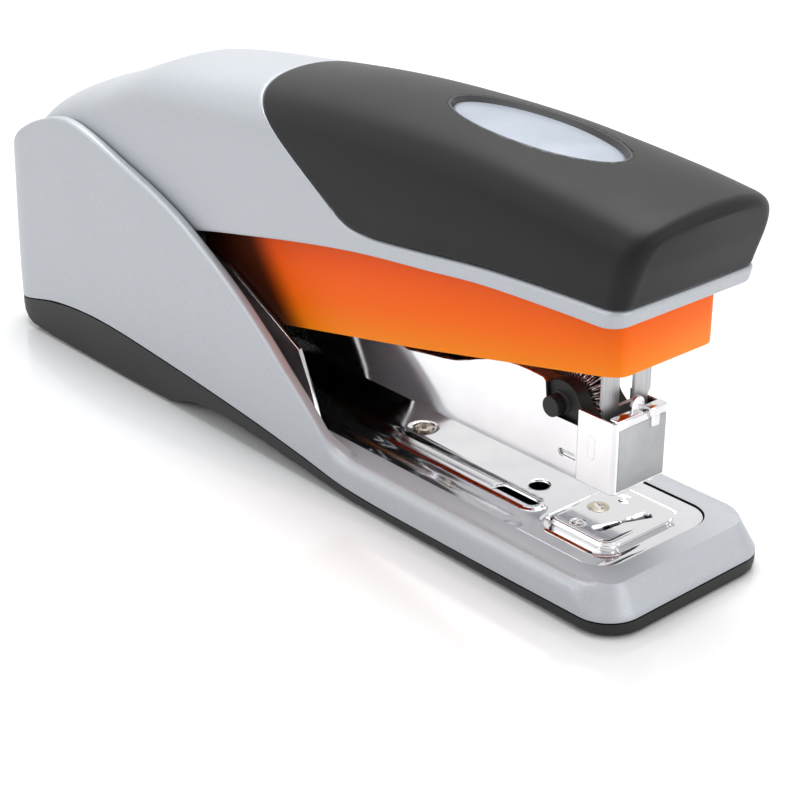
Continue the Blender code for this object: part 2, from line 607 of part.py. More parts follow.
def make_base_plate(colour, carrier):
    """The pressed steel plate with the two ears that hold the pivot pin."""
    half = PLATE_WIDTH / 2
    outline = rounded_rectangle(REAR + 2 * WING_WALL + FIT_GAP, FRONT - PLATE_FRONT_SETBACK, half,
                                PLATE_CORNER_RADIUS)
    item = flat_plate("base_plate", outline, PLATE_BOTTOM, PLATE_TOP)
    edge = [(x, z) for x, z in EAR_LINE]
    edge[0] = (edge[0][0], PLATE_BOTTOM + PLATE_THICKNESS / 4)
    head = arc((PIVOT.x, PIVOT.z), EAR_RADIUS, 75, 200, 9)
    ear = edge + head + [(PIVOT.x - EAR_RADIUS + EAR_FOOT_SETIN, PLATE_BOTTOM + PLATE_THICKNESS / 4)]
    for sign in (1, -1):
        y_out = sign * (half - CUT_STEP)
        join(item, side_plate("ear", ear, y_out, y_out - sign * PLATE_THICKNESS))
    bore = rod("bore", HOLE_GAP, PIVOT, (0, 1, 0), -half * 2, half * 2)
    hole = rod("hole", PLATE_HOLE_DIAMETER / 2, (FRONT - PLATE_HOLE_SETBACK, 0, 0), (0, 0, 1), 0.0,
               RIM_HEIGHT * 2)
    cut(item, bore, hole)
    slot_x = FRONT - PLATE_HOLE_SETBACK
    slot = rounded_rectangle(slot_x - PLATE_SLOT_LENGTH / 2, slot_x + PLATE_SLOT_LENGTH / 2,
                             PLATE_SLOT_WIDTH / 2, PLATE_SLOT_WIDTH * 0.49, 3)
    slot = [(x, y - PLATE_SLOT_OFFSET) for x, y in slot]
    cut(item, flat_plate("slot", slot, 0.0, RIM_HEIGHT * 2))
    for x, _ in screw_places().values():
        cut(item, screw_hole(x))
    rivet_hole = rod("hole", RIVET_RADIUS + FIT_GAP, (REAR + LEAF_RIVET_SETBACK, 0, 0), (0, 0, 1), 0.0,
                     RIM_HEIGHT * 2, 12)
    cut(item, rivet_hole)
    return fit(item, colour, carrier)


def make_anvil(colour, carrier):
    low = PLATE_TOP + FIT_GAP
    high = low + ANVIL_THICKNESS
    front = FRONT - ANVIL_FRONT_SETBACK
    outline = rounded_rectangle(front - ANVIL_LENGTH, front, ANVIL_WIDTH / 2, ANVIL_CORNER_RADIUS)
    item = flat_plate("anvil", outline, low, high)
    near = ANVIL_GROOVE_WIDTH / 3
    far = near + ANVIL_GROOVE_LENGTH
    for y_from, y_to in ((near, far), (-far, -near)):
        groove = block("groove", (DRIVER_X - ANVIL_GROOVE_WIDTH / 2, y_from, high - ANVIL_GROOVE_DEPTH),
                       (DRIVER_X + ANVIL_GROOVE_WIDTH / 2, y_to, high + CUT_OVERRUN))
        cut(item, groove)
    screw_x = FRONT - ANVIL_SCREW_SETBACK
    cut(item, screw_hole(screw_x))
    sink = SCREW_HEAD_DIAMETER / 2 + FIT_GAP
    seat = low + ANVIL_SCREW_SEAT
    cut(item, rod("sink", sink, (screw_x, 0, 0), (0, 0, 1), seat, high + CUT_OVERRUN))
    return fit(item, colour, carrier)


def make_screws(colour, carrier):
    for name, (x, seat) in screw_places().items():
        head = SCREW_HEAD_DIAMETER / 2
        shank = SCREW_SHANK_DIAMETER / 2
        low = seat + FIT_GAP
        tip = sole_bottom(x) + 1.5 * SOLE_FLOOR + FIT_GAP
        profile = [(0.0, tip), (shank, tip), (shank, low), (head, low), (head, low + SCREW_HEAD_HEIGHT * 0.5),
                   (head * 0.75, low + SCREW_HEAD_HEIGHT), (0.0, low + SCREW_HEAD_HEIGHT)]
        fit(turned(name, profile, (x, 0, 0), (0, 0, 1), 20), colour, carrier)


def make_pivot(colour, carrier):
    """The main pin with its head on one side, a clip on the other and two spacer tubes."""
    radius = PIN_DIAMETER / 2
    half = PLATE_WIDTH / 2 + FIT_GAP
    head = half + PIN_HEAD_THICKNESS
    profile = [(0.0, -head), (PIN_HEAD_DIAMETER / 2, -head), (PIN_HEAD_DIAMETER / 2, -half),
               (radius, -half), (radius, head), (0.0, head)]
    fit(turned("pivot_pin", profile, PIVOT, (0, 1, 0)), colour, carrier)
    inner = radius + FIT_GAP
    outer = PIN_HEAD_DIAMETER / 2
    ring = [(inner, half), (outer, half), (outer, half + CLIP_THICKNESS), (inner, half + CLIP_THICKNESS),
            (inner, half)]
    fit(turned("pivot_clip", ring, PIVOT, (0, 1, 0)), colour, carrier)
    near = CHANNEL_OUTER + FIT_GAP
    far = ARM_WIDTH / 2 - ARM_WALL - FIT_GAP
    for side, sign in (("left", 1), ("right", -1)):
        outer = inner + SPACER_WALL
        tube = [(inner, near * sign), (outer, near * sign), (outer, far * sign), (inner, far * sign),
                (inner, near * sign)]
        fit(turned(f"pivot_spacer_{side}", tube, PIVOT, (0, 1, 0)), colour, carrier)


def make_leaf_spring(steel, carrier):
    """The flat spring that lifts the magazine, with the rivet that holds it to the plate."""
    rivet_x = REAR + LEAF_RIVET_SETBACK
    low = PLATE_TOP + FIT_GAP
    tip_x = FRONT - LEAF_TIP_SETBACK
    tip_z = CHANNEL_FLOOR_HEIGHT - FIT_GAP - LEAF_THICKNESS
    rise = smooth_line([(rivet_x - LEAF_FOOT, low), (rivet_x + LEAF_FOOT, low),
                        (rivet_x + 2 * LEAF_FOOT, low + LEAF_TIP_RISE),
                        (tip_x - LEAF_TIP_LENGTH, tip_z - LEAF_TIP_RISE), (tip_x, tip_z),
                        (tip_x + LEAF_CURL, tip_z - LEAF_CURL_DROP)])
    stations = spread(rivet_x - LEAF_FOOT, tip_x + LEAF_CURL, 14)
    outline = [(x, rise(x)) for x in stations] + [(x, rise(x) + LEAF_THICKNESS) for x in reversed(stations)]
    item = side_plate("magazine_leaf_spring", outline, -LEAF_WIDTH / 2, LEAF_WIDTH / 2)
    cut(item, rod("hole", RIVET_RADIUS + FIT_GAP, (rivet_x, 0, 0), (0, 0, 1), 0.0, RIM_HEIGHT * 2, 12))
    fit(item, steel, carrier)
    head = 2 * RIVET_RADIUS
    top = low + LEAF_THICKNESS + FIT_GAP
    profile = [(0.0, PLATE_BOTTOM - FIT_GAP), (RIVET_RADIUS, PLATE_BOTTOM - FIT_GAP), (RIVET_RADIUS, top),
               (head, top), (head * 0.7, top + RIVET_RADIUS * 0.7), (0.0, top + RIVET_RADIUS * 0.7)]
    fit(turned("leaf_spring_rivet", profile, (rivet_x, 0, 0), (0, 0, 1), 12), steel, carrier)


def make_channel(colour, carrier):
    """The magazine channel: a floor, two walls with a wavy top and the arms back to the pivot."""
    wave_start = CHANNEL_TOP_LINE[3][0]
    stations = spread(CHANNEL_TOP_LINE[0][0] + EAR_RADIUS / 2, wave_start, 7)
    stations += spread(wave_start + STATION_GAP / 2, CHANNEL_TOP_LINE[-1][0], 16)
    top = [(x, channel_top(x)) for x in stations]
    notch_floor = GUIDE.z - GUIDE_BOSS_RADIUS - FIT_GAP
    notch_rear = GUIDE.x - GUIDE_BOSS_RADIUS - FIT_GAP
    ease = CHANNEL_WALL
    top = [point for point in top if point[0] < notch_rear - 2 * ease]
    top += [(notch_rear - ease, channel_top(notch_rear) - ease), (notch_rear, notch_floor + 2 * ease),
            (notch_rear + 2 * ease, notch_floor), (CHANNEL_FRONT, notch_floor)]
    head = arc((PIVOT.x, PIVOT.z), EAR_RADIUS - PIN_HEAD_THICKNESS, 290, 75, 12)
    outline = [(CHANNEL_FRONT, CHANNEL_FLOOR_HEIGHT)] + CHANNEL_BELLY + head + top
    item = side_plate("magazine_channel", outline, -CHANNEL_OUTER, CHANNEL_OUTER)
    trough = block("trough", (REAR, -CHANNEL_INNER, CHANNEL_FLOOR_HEIGHT + CHANNEL_WALL),
                   (FRONT, CHANNEL_INNER, CUT_TOP))
    bore = rod("bore", HOLE_GAP, PIVOT, (0, 1, 0), -BASE_WIDTH, BASE_WIDTH)
    window_front = CHANNEL_FRONT - WINDOW_SETBACK
    sill = CHANNEL_FLOOR_HEIGHT + WINDOW_SILL
    window = block("window", (window_front - WINDOW_LENGTH, -BASE_WIDTH, sill),
                   (window_front, BASE_WIDTH, sill + WINDOW_HEIGHT))
    cut(item, trough, bore, window)
    for pin in (ANCHOR, return_rest()):
        cut(item, rod("pin_hole", CROSS_PIN_RADIUS + FIT_GAP, pin, (0, 1, 0), -BASE_WIDTH, BASE_WIDTH, 16))
    return fit(item, colour, carrier)


def make_track(colour, carrier):
    """The rail that the staples straddle inside the channel."""
    low = CHANNEL_FLOOR_HEIGHT + CHANNEL_WALL + FIT_GAP
    rear = CHANNEL_FRONT - TRACK_LENGTH
    item = block("staple_track", (rear, -TRACK_OUTER, low), (CHANNEL_FRONT, TRACK_OUTER, TRACK_TOP))
    inner = TRACK_OUTER - TRACK_WALL
    cut(item, block("hollow", (REAR, -inner, 0.0), (FRONT, inner, TRACK_TOP - TRACK_WALL)))
    return fit(item, colour, carrier)


def make_nose(colour, carrier):
    """The nose cover round the end of the channel, and the tongue in the driver's window."""
    rear = NOSE_FRONT - NOSE_LENGTH
    outline = rounded_rectangle(rear - NOSE_LENGTH / 2, NOSE_FRONT, NOSE_OUTER, 2 * NOSE_WALL, 3)
    item = flat_plate("nose_cover", outline, NOSE_BOTTOM, NOSE_TOP)
    inside = rounded_rectangle(rear - NOSE_LENGTH, NOSE_FRONT - NOSE_FRONT_WALL, NOSE_INNER, NOSE_WALL, 2)
    cut(item, flat_plate("inside", inside, 0.0, CUT_TOP))
    cut(item, block("rear_end", (rear - NOSE_LENGTH, -BASE_WIDTH, 0.0), (rear, BASE_WIDTH, CUT_TOP)))
    fit(item, colour, carrier)
    back = NOSE_FRONT - NOSE_FRONT_WALL - FIT_GAP
    half = TONGUE_WIDTH / 2
    foot = NOSE_BOTTOM + NOSE_HEIGHT / 3
    tip = arc((0.0, NOSE_TOP + TONGUE_HEIGHT - half), half, 180, 0, 8)
    shape = [(-half, foot)] + tip + [(half, foot)]
    corners = [(back, y, z) for y, z in shape]
    fit(extrude_outline("nose_tongue", corners, (-TONGUE_THICKNESS, 0.0, 0.0)), colour, carrier)


def make_guide(plastic, steel, carrier):
    """The drum that the follower spring bends round, and the pin that anchors its far end."""
    drum = COIL_BEND_RADIUS - COIL_RADIUS - COIL_WIRE / 2 - FIT_GAP
    inner = CHANNEL_INNER - FIT_GAP
    boss = NOSE_OUTER + MM
    profile = [(0.0, -boss), (GUIDE_BOSS_RADIUS, -boss), (GUIDE_BOSS_RADIUS, -inner), (drum, -inner),
               (drum, inner), (GUIDE_BOSS_RADIUS, inner), (GUIDE_BOSS_RADIUS, boss), (0.0, boss)]
    fit(turned("spring_guide", profile, GUIDE, (0, 1, 0)), plastic, carrier)
    reach = CHANNEL_OUTER + FIT_GAP
    for name, place in (("spring_anchor_pin", ANCHOR), ("return_spring_rest", return_rest())):
        fit(rod(name, CROSS_PIN_RADIUS, place, (0, 1, 0), -reach, reach, 16), steel, carrier)


def make_follower(colour, carrier):
    """The staple pusher, a saddle on the track with a post for the spring's end."""
    front = CHANNEL_FRONT - FIT_GAP
    rear = front - FOLLOWER_LENGTH
    outer = CHANNEL_INNER - FIT_GAP / 2
    inner = TRACK_OUTER + FIT_GAP / 2
    low = CHANNEL_FLOOR_HEIGHT + CHANNEL_WALL + 2 * FIT_GAP
    top = TRACK_TOP + FIT_GAP + FOLLOWER_WALL
    item = block("follower", (rear, -outer, low), (front, outer, top))
    cut(item, block("saddle", (REAR, -inner, 0.0), (FRONT, inner, TRACK_TOP + FIT_GAP)))
    post_top = GUIDE.z - COIL_BEND_RADIUS + COIL_RADIUS
    post = block("post", (rear + FOLLOWER_WALL, -COIL_RADIUS, top - FOLLOWER_WALL / 2),
                 (rear + FOLLOWER_WALL + FOLLOWER_POST, COIL_RADIUS, post_top))
    join(item, post)
    return fit(item, colour, carrier)


def wire(name, points, diameter, colour, carrier):
    """A round wire of even thickness along points."""
    curve = bpy.data.curves.new(name, "CURVE")
    curve.dimensions = "3D"
    curve.bevel_depth = diameter / 2
    curve.bevel_resolution = 1
    curve.use_fill_caps = True
    spline = curve.splines.new("POLY")
    spline.points.add(len(points) - 1)
    for slot, point in zip(spline.points, points):
        slot.co = (*point, 1.0)
    item = bpy.data.objects.new(name, curve)
    bpy.context.scene.collection.objects.link(item)
    return fit(item, colour, carrier)


def least_gap(points, diameter, apart):
    """The least clear gap between curls, over points at least apart places along."""
    closest = min((points[i] - points[k]).length
                  for i in range(len(points)) for k in range(i + apart, len(points)))
    return closest - diameter


def make_follower_spring(colour, carrier):
    """The long coil: from the follower's post, forward, up round the guide and back to its anchor."""
    follower_rear = CHANNEL_FRONT - FIT_GAP - FOLLOWER_LENGTH
    start_x = follower_rear + FOLLOWER_WALL + FOLLOWER_POST + FIT_GAP
    start = Vector((start_x, 0, GUIDE.z - COIL_BEND_RADIUS))
    bend_top = GUIDE.z + COIL_BEND_RADIUS
    end = Vector((ANCHOR.x + CROSS_PIN_RADIUS + FIT_GAP, 0, ANCHOR.z))
    fall = math.atan2(bend_top - end.z, GUIDE.x - end.x)
    sweep = math.pi + fall
    lower = GUIDE.x - start.x
    leave = GUIDE + Vector((-math.sin(fall), 0, math.cos(fall))) * COIL_BEND_RADIUS
    upper = (end - leave).length
    total = lower + COIL_BEND_RADIUS * sweep + upper

    def place(s):
        """The coil's middle line at s along it, and the direction out of the bend."""
        if s < lower:
            return start + Vector((s, 0, 0)), Vector((0, 0, -1))
        if s < lower + COIL_BEND_RADIUS * sweep:
            angle = (s - lower) / COIL_BEND_RADIUS - math.pi / 2
            out = Vector((math.cos(angle), 0, math.sin(angle)))
            return GUIDE + out * COIL_BEND_RADIUS, out
        along = (s - lower - COIL_BEND_RADIUS * sweep) / upper
        return leave.lerp(end, along), Vector((-math.sin(fall), 0, math.cos(fall)))

    straight = 2 * COIL_WIRE
    turns = int((total - 2 * straight) / COIL_PITCH)
    points = []
    for i in range(turns * COIL_POINTS + 1):
        middle, out = place(straight + (total - 2 * straight) * i / (turns * COIL_POINTS))
        angle = math.tau * i / COIL_POINTS
        points.append(middle + (out * math.cos(angle) + Vector((0, 1, 0)) * math.sin(angle)) * COIL_RADIUS)
    gap = least_gap(points, COIL_WIRE, COIL_POINTS // 2 + 1)
    print(f"follower spring: {turns} curls, least gap {gap / MM:.2f} mm")
    print(f"least gap wanted: over {COIL_LEAST_GAP / MM:.2f} mm")
    points.insert(0, points[0] - Vector((straight, 0, 0)))
    points.append(points[-1] + (end - leave).normalized() * straight)
    return wire("follower_spring", points, COIL_WIRE, colour, carrier)


def return_rest():
    """Middle of the cross pin that the return spring's lower leg rests on."""
    drop = RETURN_RADIUS + RETURN_WIRE + 2 * CROSS_PIN_RADIUS
    return PIVOT + Vector((RETURN_LEG - 2 * CROSS_PIN_RADIUS, 0, -drop))


def make_return_spring(colour, carrier):
    """The spring round the pivot pin that lifts the handle, with two legs that point forward."""
    points = []
    count = RETURN_POINTS
    span = RETURN_PITCH * RETURN_TURNS
    for i in range(RETURN_TURNS * count + count // 2 + 1):
        angle = -math.pi / 2 - math.tau * i / count
        y = span / 2 - RETURN_PITCH * i / count
        points.append(PIVOT + Vector((RETURN_RADIUS * math.cos(angle), y, RETURN_RADIUS * math.sin(angle))))
    gap = least_gap(points, RETURN_WIRE, count // 2 + 1)
    print(f"handle return spring: least gap {gap / MM:.2f} mm")
    points.insert(0, points[0] + Vector((RETURN_LEG, 0, 0)))
    points.append(points[-1] + Vector((RETURN_LEG, 0, 0)))
    return wire("handle_return_spring", points, RETURN_WIRE, colour, carrier)


def handle_form(name, inset, drop=0.0):
    """The handle's loaf form, drawn in by inset all round and with its lower edge dropped."""
    rear_end = REAR + HANDLE_REAR_SETBACK + inset
    front_end = FRONT - HANDLE_FRONT_SETBACK - inset
    stations = round_in(rear_end, HANDLE_REAR_RADIUS, 5)
    corner = front_end - HANDLE_FRONT_RADIUS
    stations += spread(rear_end + HANDLE_REAR_RADIUS, corner - STATION_GAP / 2, 14)
    stations += [2 * front_end - HANDLE_FRONT_RADIUS - x
                 for x in reversed(round_in(corner, HANDLE_FRONT_RADIUS, 4))]
    rings = []
    for x in stations:
        half = rounded_half(x, HANDLE_HALF - inset, front_end, rear_end, HANDLE_FRONT_RADIUS,
                            HANDLE_REAR_RADIUS)
        top = crown(x) - inset
        foot = low_edge(x)
        height = min(SHOULDER_HEIGHT, (top - foot) * 0.85)
        lean = HANDLE_LEAN * max(0.0, 1 - (front_end - x) / HANDLE_LEAN_LENGTH)
        outline = [(-half, foot - drop)]
        for i in range(LOAF_STEPS + 1):
            angle = math.pi * (1 - i / LOAF_STEPS)
            across = abs(math.cos(angle)) ** (2 / HANDLE_CROWN_POWER)
            rise = math.sin(angle) ** (2 / HANDLE_SHOULDER_POWER) if 0 < i < LOAF_STEPS else 0.0
            outline.append((math.copysign(half * across, math.cos(angle)), top - height + height * rise))
        outline.append((half, foot - drop))
        rings.append([(x + lean * (z - foot), y, z) for y, z in outline])
    return loft(name, rings)


def grip_zone(name, grow):
    """The part of the handle that the grip covers, grown by grow towards the cover."""
    past_front = FRONT + HANDLE_FRONT_SETBACK
    edge = [(x, grip_edge(x) - grow) for x in spread(GRIP_LINE[0][0], past_front, 8)]
    diagonal = (Vector(GRIP_REAR_TOP) - Vector(GRIP_REAR_FOOT)).normalized()
    push = Vector((-diagonal.y, diagonal.x)) * grow
    foot = (GRIP_REAR_FOOT[0] + push.x, GRIP_REAR_FOOT[1] + push.y)
    peak = (GRIP_REAR_TOP[0] + push.x, GRIP_REAR_TOP[1] + push.y)
    middle = ((foot[0] * 2 + edge[0][0]) / 3, edge[0][1] - CUT_STEP)
    outline = edge + [(past_front, peak[1]), peak, foot, middle]
    return side_plate(name, outline, -BASE_WIDTH, BASE_WIDTH)


def badge_outline(grow):
    """Oval plan outline of the badge, grown by grow."""
    middle = FRONT - BADGE_SETBACK
    outline = []
    for i in range(40):
        angle = math.tau * i / 40
        outline.append((middle + (BADGE_LENGTH / 2 + grow) * math.cos(angle),
                        (BADGE_WIDTH / 2 + grow) * math.sin(angle)))
    return outline


def badge_cut_floor():
    """A height well under the badge, inside the handle."""
    return crown(FRONT - BADGE_SETBACK) - SHOULDER_HEIGHT / 2


def cover_screw_places():
    """Where the two screws that hold the cover, arm and skirt together stand."""
    return {"cover_screw_front": FRONT - FRONT_POST_SETBACK, "cover_screw_rear": FRONT - REAR_POST_SETBACK}


def skirt_roof(x):
    """Height of the skirt's outer top at x, inside the cover."""
    return low_edge(x) + SKIRT_RISE


def arm_foot(x):
    """Height of the arm's lower edge at x, just over the skirt."""
    return skirt_roof(x) + 2 * FIT_GAP


def make_cover(colour, carrier):
    """The handle's moulded cover: open below, with a step all round under the grip."""
    item = handle_form("handle_cover", 0.0)
    step = grip_zone("step", 0.0)
    cut(step, handle_form("core", GRIP_THICKNESS + GRIP_GAP, CUT_OVERRUN))
    cut(item, step)
    cut(item, handle_form("inside", GRIP_THICKNESS + GRIP_GAP + COVER_WALL, CUT_OVERRUN))
    lower_inside = handle_form("lower_inside", COVER_WALL, CUT_OVERRUN)
    cut(lower_inside, grip_zone("shelf", COVER_WALL))
    cut(item, lower_inside)
    for x in cover_screw_places().values():
        under_grip = x > GRIP_REAR_FOOT[0]
        top = crown(x) - COVER_WALL / 2 - (GRIP_THICKNESS + GRIP_GAP if under_grip else 0.0)
        radius = SCREW_HEAD_DIAMETER / 2
        foot = arm_foot(x + radius) + ARM_DEPTH + FIT_GAP
        join(item, rod("post", radius, (x, 0, 0), (0, 0, 1), foot, top, 16))
        cut(item, rod("hole", SCREW_HOLE, (x, 0, 0), (0, 0, 1), 0.0, top - 2 * COVER_WALL, 16))
    return fit(item, colour, carrier)


def make_grip(colour, carrier):
    """The soft grip that wraps the front of the cover, with an oval recess on top."""
    item = handle_form("handle_grip", 0.0)
    combine(item, grip_zone("zone", -GRIP_GAP), "INTERSECT")
    cut(item, handle_form("core", GRIP_THICKNESS, CUT_OVERRUN))
    recess = flat_plate("recess", badge_outline(GRIP_GAP), badge_cut_floor(), CUT_TOP)
    cut(recess, handle_form("recess_floor", BADGE_SINK + BADGE_THICKNESS + GRIP_GAP / 2))
    cut(item, recess)
    return fit(item, colour, carrier)


def make_badge(colour, carrier):
    """The oval plate let into the top of the grip."""
    item = flat_plate("badge_plate", badge_outline(0.0), badge_cut_floor(), CUT_TOP)
    combine(item, handle_form("badge_top", BADGE_SINK), "INTERSECT")
    cut(item, handle_form("badge_foot", BADGE_SINK + BADGE_THICKNESS))
    return fit(item, colour, carrier)


def skirt_form(name, inset, drop):
    """The skirt's hood form, drawn in by inset and with its lower edge dropped."""
    front_end = FRONT - SKIRT_FRONT_SETBACK - inset
    rear_end = FRONT - SKIRT_FRONT_SETBACK - SKIRT_LENGTH - (drop if inset else 0.0)
    radius = SKIRT_CORNER_RADIUS
    stations = spread(rear_end, front_end - radius, 12)
    stations += [2 * front_end - radius - x for x in reversed(round_in(front_end - radius, radius, 4))][1:]
    rings = []
    for x in stations:
        half = rounded_half(x, SKIRT_WIDTH / 2 - inset, front_end, rear_end - radius, radius, radius)
        top = skirt_roof(x) - inset
        foot = skirt_edge(x) - drop
        ease = SKIRT_EDGE_EASE
        rings.append([(x, -half, foot), (x, -half, top - ease), (x, -half + ease, top),
                      (x, half - ease, top), (x, half, top - ease), (x, half, foot)])
    return loft(name, rings)


def make_skirt(colour, carrier):
    """The clear tinted skirt under the handle, open below and at the rear."""
    item = skirt_form("handle_skirt", 0.0, 0.0)
    cut(item, skirt_form("inside", SKIRT_WALL, CUT_OVERRUN))
    slot_rear = DRIVER_X - DRIVER_SLOT_BACK
    slot_half = DRIVER_HALF + 2 * FIT_GAP
    slot_floor = skirt_roof(DRIVER_X) - 2 * SKIRT_WALL
    slot = block("driver_slot", (slot_rear, -slot_half, slot_floor),
                 (slot_rear + DRIVER_SLOT_LENGTH, slot_half, CUT_TOP))
    cut(item, slot)
    for x in cover_screw_places().values():
        cut(item, screw_hole_through(x))
    return fit(item, colour, carrier)


def screw_hole_through(x):
    """A long round cutter for one of the cover's screws."""
    return rod("hole", SCREW_HOLE, (x, 0, 0), (0, 0, 1), 0.0, CUT_TOP, 16)


def make_cover_screws(colour, carrier):
    for name, x in cover_screw_places().items():
        head = SCREW_HEAD_DIAMETER / 2
        seat = skirt_roof(x - head) - SKIRT_WALL - FIT_GAP
        shank = SCREW_SHANK_DIAMETER / 2
        tip = arm_foot(x) + ARM_DEPTH + COVER_SCREW_BITE
        face = seat - SCREW_HEAD_HEIGHT
        profile = [(0.0, face), (head * 0.75, face), (head, seat - SCREW_HEAD_HEIGHT / 2), (head, seat),
                   (shank, seat), (shank, tip), (0.0, tip)]
        fit(turned(name, profile, (x, 0, 0), (0, 0, 1), 20), colour, carrier)


def make_arm(colour, carrier):
    """The steel arm in the handle: a channel from the pivot to the flange that carries the driver."""
    front = DRIVER_X + DRIVER_THICKNESS + FIT_GAP + ARM_WALL
    rise_from = PIVOT.x + ARM_RISE_REACH
    stations = spread(rise_from, front, 12)
    lower = [(x, arm_foot(x)) for x in stations]
    upper = [(x, arm_foot(x) + ARM_DEPTH) for x in reversed(stations)]
    head = arc((PIVOT.x, PIVOT.z), EAR_RADIUS, 100, 300, 10)
    outline = head + lower + upper
    item = side_plate("drive_arm", outline, -ARM_WIDTH / 2, ARM_WIDTH / 2)
    inner = ARM_WIDTH / 2 - ARM_WALL
    hollow_rear = PIVOT.x - 2 * EAR_RADIUS
    hollow_outline = [(hollow_rear, 0.0), (front - ARM_WALL, 0.0)]
    hollow_outline += [(min(x, front - ARM_WALL), z - ARM_WALL) for x, z in upper]
    hollow_outline.append((hollow_rear, PIVOT.z + EAR_RADIUS - ARM_WALL))
    hollow = side_plate("hollow", hollow_outline, -inner, inner)
    bore = rod("bore", HOLE_GAP, PIVOT, (0, 1, 0), -BASE_WIDTH, BASE_WIDTH)
    cut(item, hollow, bore)
    for x in cover_screw_places().values():
        cut(item, screw_hole_through(x))
    for place in driver_rivet_places().values():
        cut(item, driver_rivet_hole(place))
    return fit(item, colour, carrier)


def driver_rivet_places():
    """Middles of the two rivets that hold the driver to the arm's flange."""
    height = arm_foot(DRIVER_X) + ARM_DEPTH - ARM_WALL - 2 * RIVET_RADIUS - 2 * FIT_GAP
    offset = DRIVER_STRIP_GAP / 2 + DRIVER_STRIP_WIDTH / 2
    return {side: Vector((DRIVER_X, sign * offset, height)) for side, sign in (("left", 1), ("right", -1))}


def driver_rivet_hole(place):
    """A round cutter for one of the driver's rivets."""
    return rod("hole", RIVET_RADIUS + FIT_GAP, place, (1, 0, 0), -ARM_DEPTH, ARM_DEPTH, 12)


def make_driver(steel, carrier):
    """The forked driver: two strips down from the arm to a blade in the nose."""
    top = arm_foot(DRIVER_X) + ARM_DEPTH - ARM_WALL - FIT_GAP
    bottom = NOSE_TOP - BLADE_DEPTH
    blade_half = STAPLE_CROWN / 2
    shoulder = NOSE_TOP + BLADE_SHOULDER
    wide = shoulder + BLADE_SHOULDER
    shape = [(-blade_half, bottom), (blade_half, bottom), (blade_half, shoulder), (DRIVER_HALF, wide),
             (DRIVER_HALF, top), (-DRIVER_HALF, top), (-DRIVER_HALF, wide), (-blade_half, shoulder)]
    corners = [(DRIVER_X, y, z) for y, z in shape]
    item = extrude_outline("driver", corners, (DRIVER_THICKNESS, 0.0, 0.0))
    window = block("window", (DRIVER_X - CUT_OVERRUN, -DRIVER_STRIP_GAP / 2, shoulder),
                   (DRIVER_X + DRIVER_THICKNESS + CUT_OVERRUN, DRIVER_STRIP_GAP / 2, top - ARM_DEPTH))
    cut(item, window)
    for place in driver_rivet_places().values():
        cut(item, driver_rivet_hole(place))
    fit(item, steel, carrier)
    back = -FIT_GAP
    face = DRIVER_THICKNESS + 2 * FIT_GAP + ARM_WALL
    head = 2 * RIVET_RADIUS
    thick = RIVET_RADIUS * 0.7
    for side, place in driver_rivet_places().items():
        profile = [(0.0, back - thick), (head * 0.7, back - thick), (head, back), (RIVET_RADIUS, back),
                   (RIVET_RADIUS, face), (0.0, face)]
        fit(turned(f"driver_rivet_{side}", profile, place, (1, 0, 0), 12), steel, carrier)


def build():
    for item in list(bpy.data.objects):
        bpy.data.objects.remove(item, do_unlink=True)
    silver = paint("silver_paint", (0.52, 0.54, 0.58), 0.35, 0.3)
    black = paint("black_plastic", (0.03, 0.03, 0.032), 0.5, 0.0)
    soft = paint("soft_grip", (0.035, 0.036, 0.038), 0.7, 0.0)
    tinted = paint("orange_clear", (0.95, 0.22, 0.04), 0.25, 0.0)
    chrome = paint("chrome_plate", (0.75, 0.75, 0.76), 0.12, 1.0)
    steel = paint("spring_steel", (0.55, 0.55, 0.56), 0.3, 1.0)
    badge = paint("badge_silver", (0.7, 0.75, 0.8), 0.3, 0.4)
    rubber = paint("pad_rubber", (0.05, 0.05, 0.05), 0.85, 0.0)
    base = pivot_empty("base_carrier", Vector((0, 0, 0)))
    magazine = pivot_empty("magazine_axis", PIVOT, base)
    follower = pivot_empty("follower_axis", Vector((CHANNEL_FRONT, 0, TRACK_TOP)), base)
    handle = pivot_empty("handle_axis", PIVOT, base)
    make_base_shell(silver, base)
    make_base_sole(black, base)
    make_pads(rubber, base)
    make_base_plate(chrome, base)
    make_anvil(chrome, base)
    make_screws(steel, base)
    make_pivot(steel, base)
    make_leaf_spring(steel, base)
    make_channel(chrome, magazine)
    make_track(steel, magazine)
    make_nose(chrome, magazine)
    make_guide(black, steel, magazine)
    make_follower_spring(steel, magazine)
    make_return_spring(steel, magazine)
    make_follower(steel, follower)
    make_cover(silver, handle)
    make_grip(soft, handle)
    make_badge(badge, handle)
    make_skirt(tinted, handle)
    make_cover_screws(steel, handle)
    make_arm(steel, handle)
    make_driver(steel, handle)


build()
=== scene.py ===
"""A full strip desk stapler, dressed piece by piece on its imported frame."""
import math

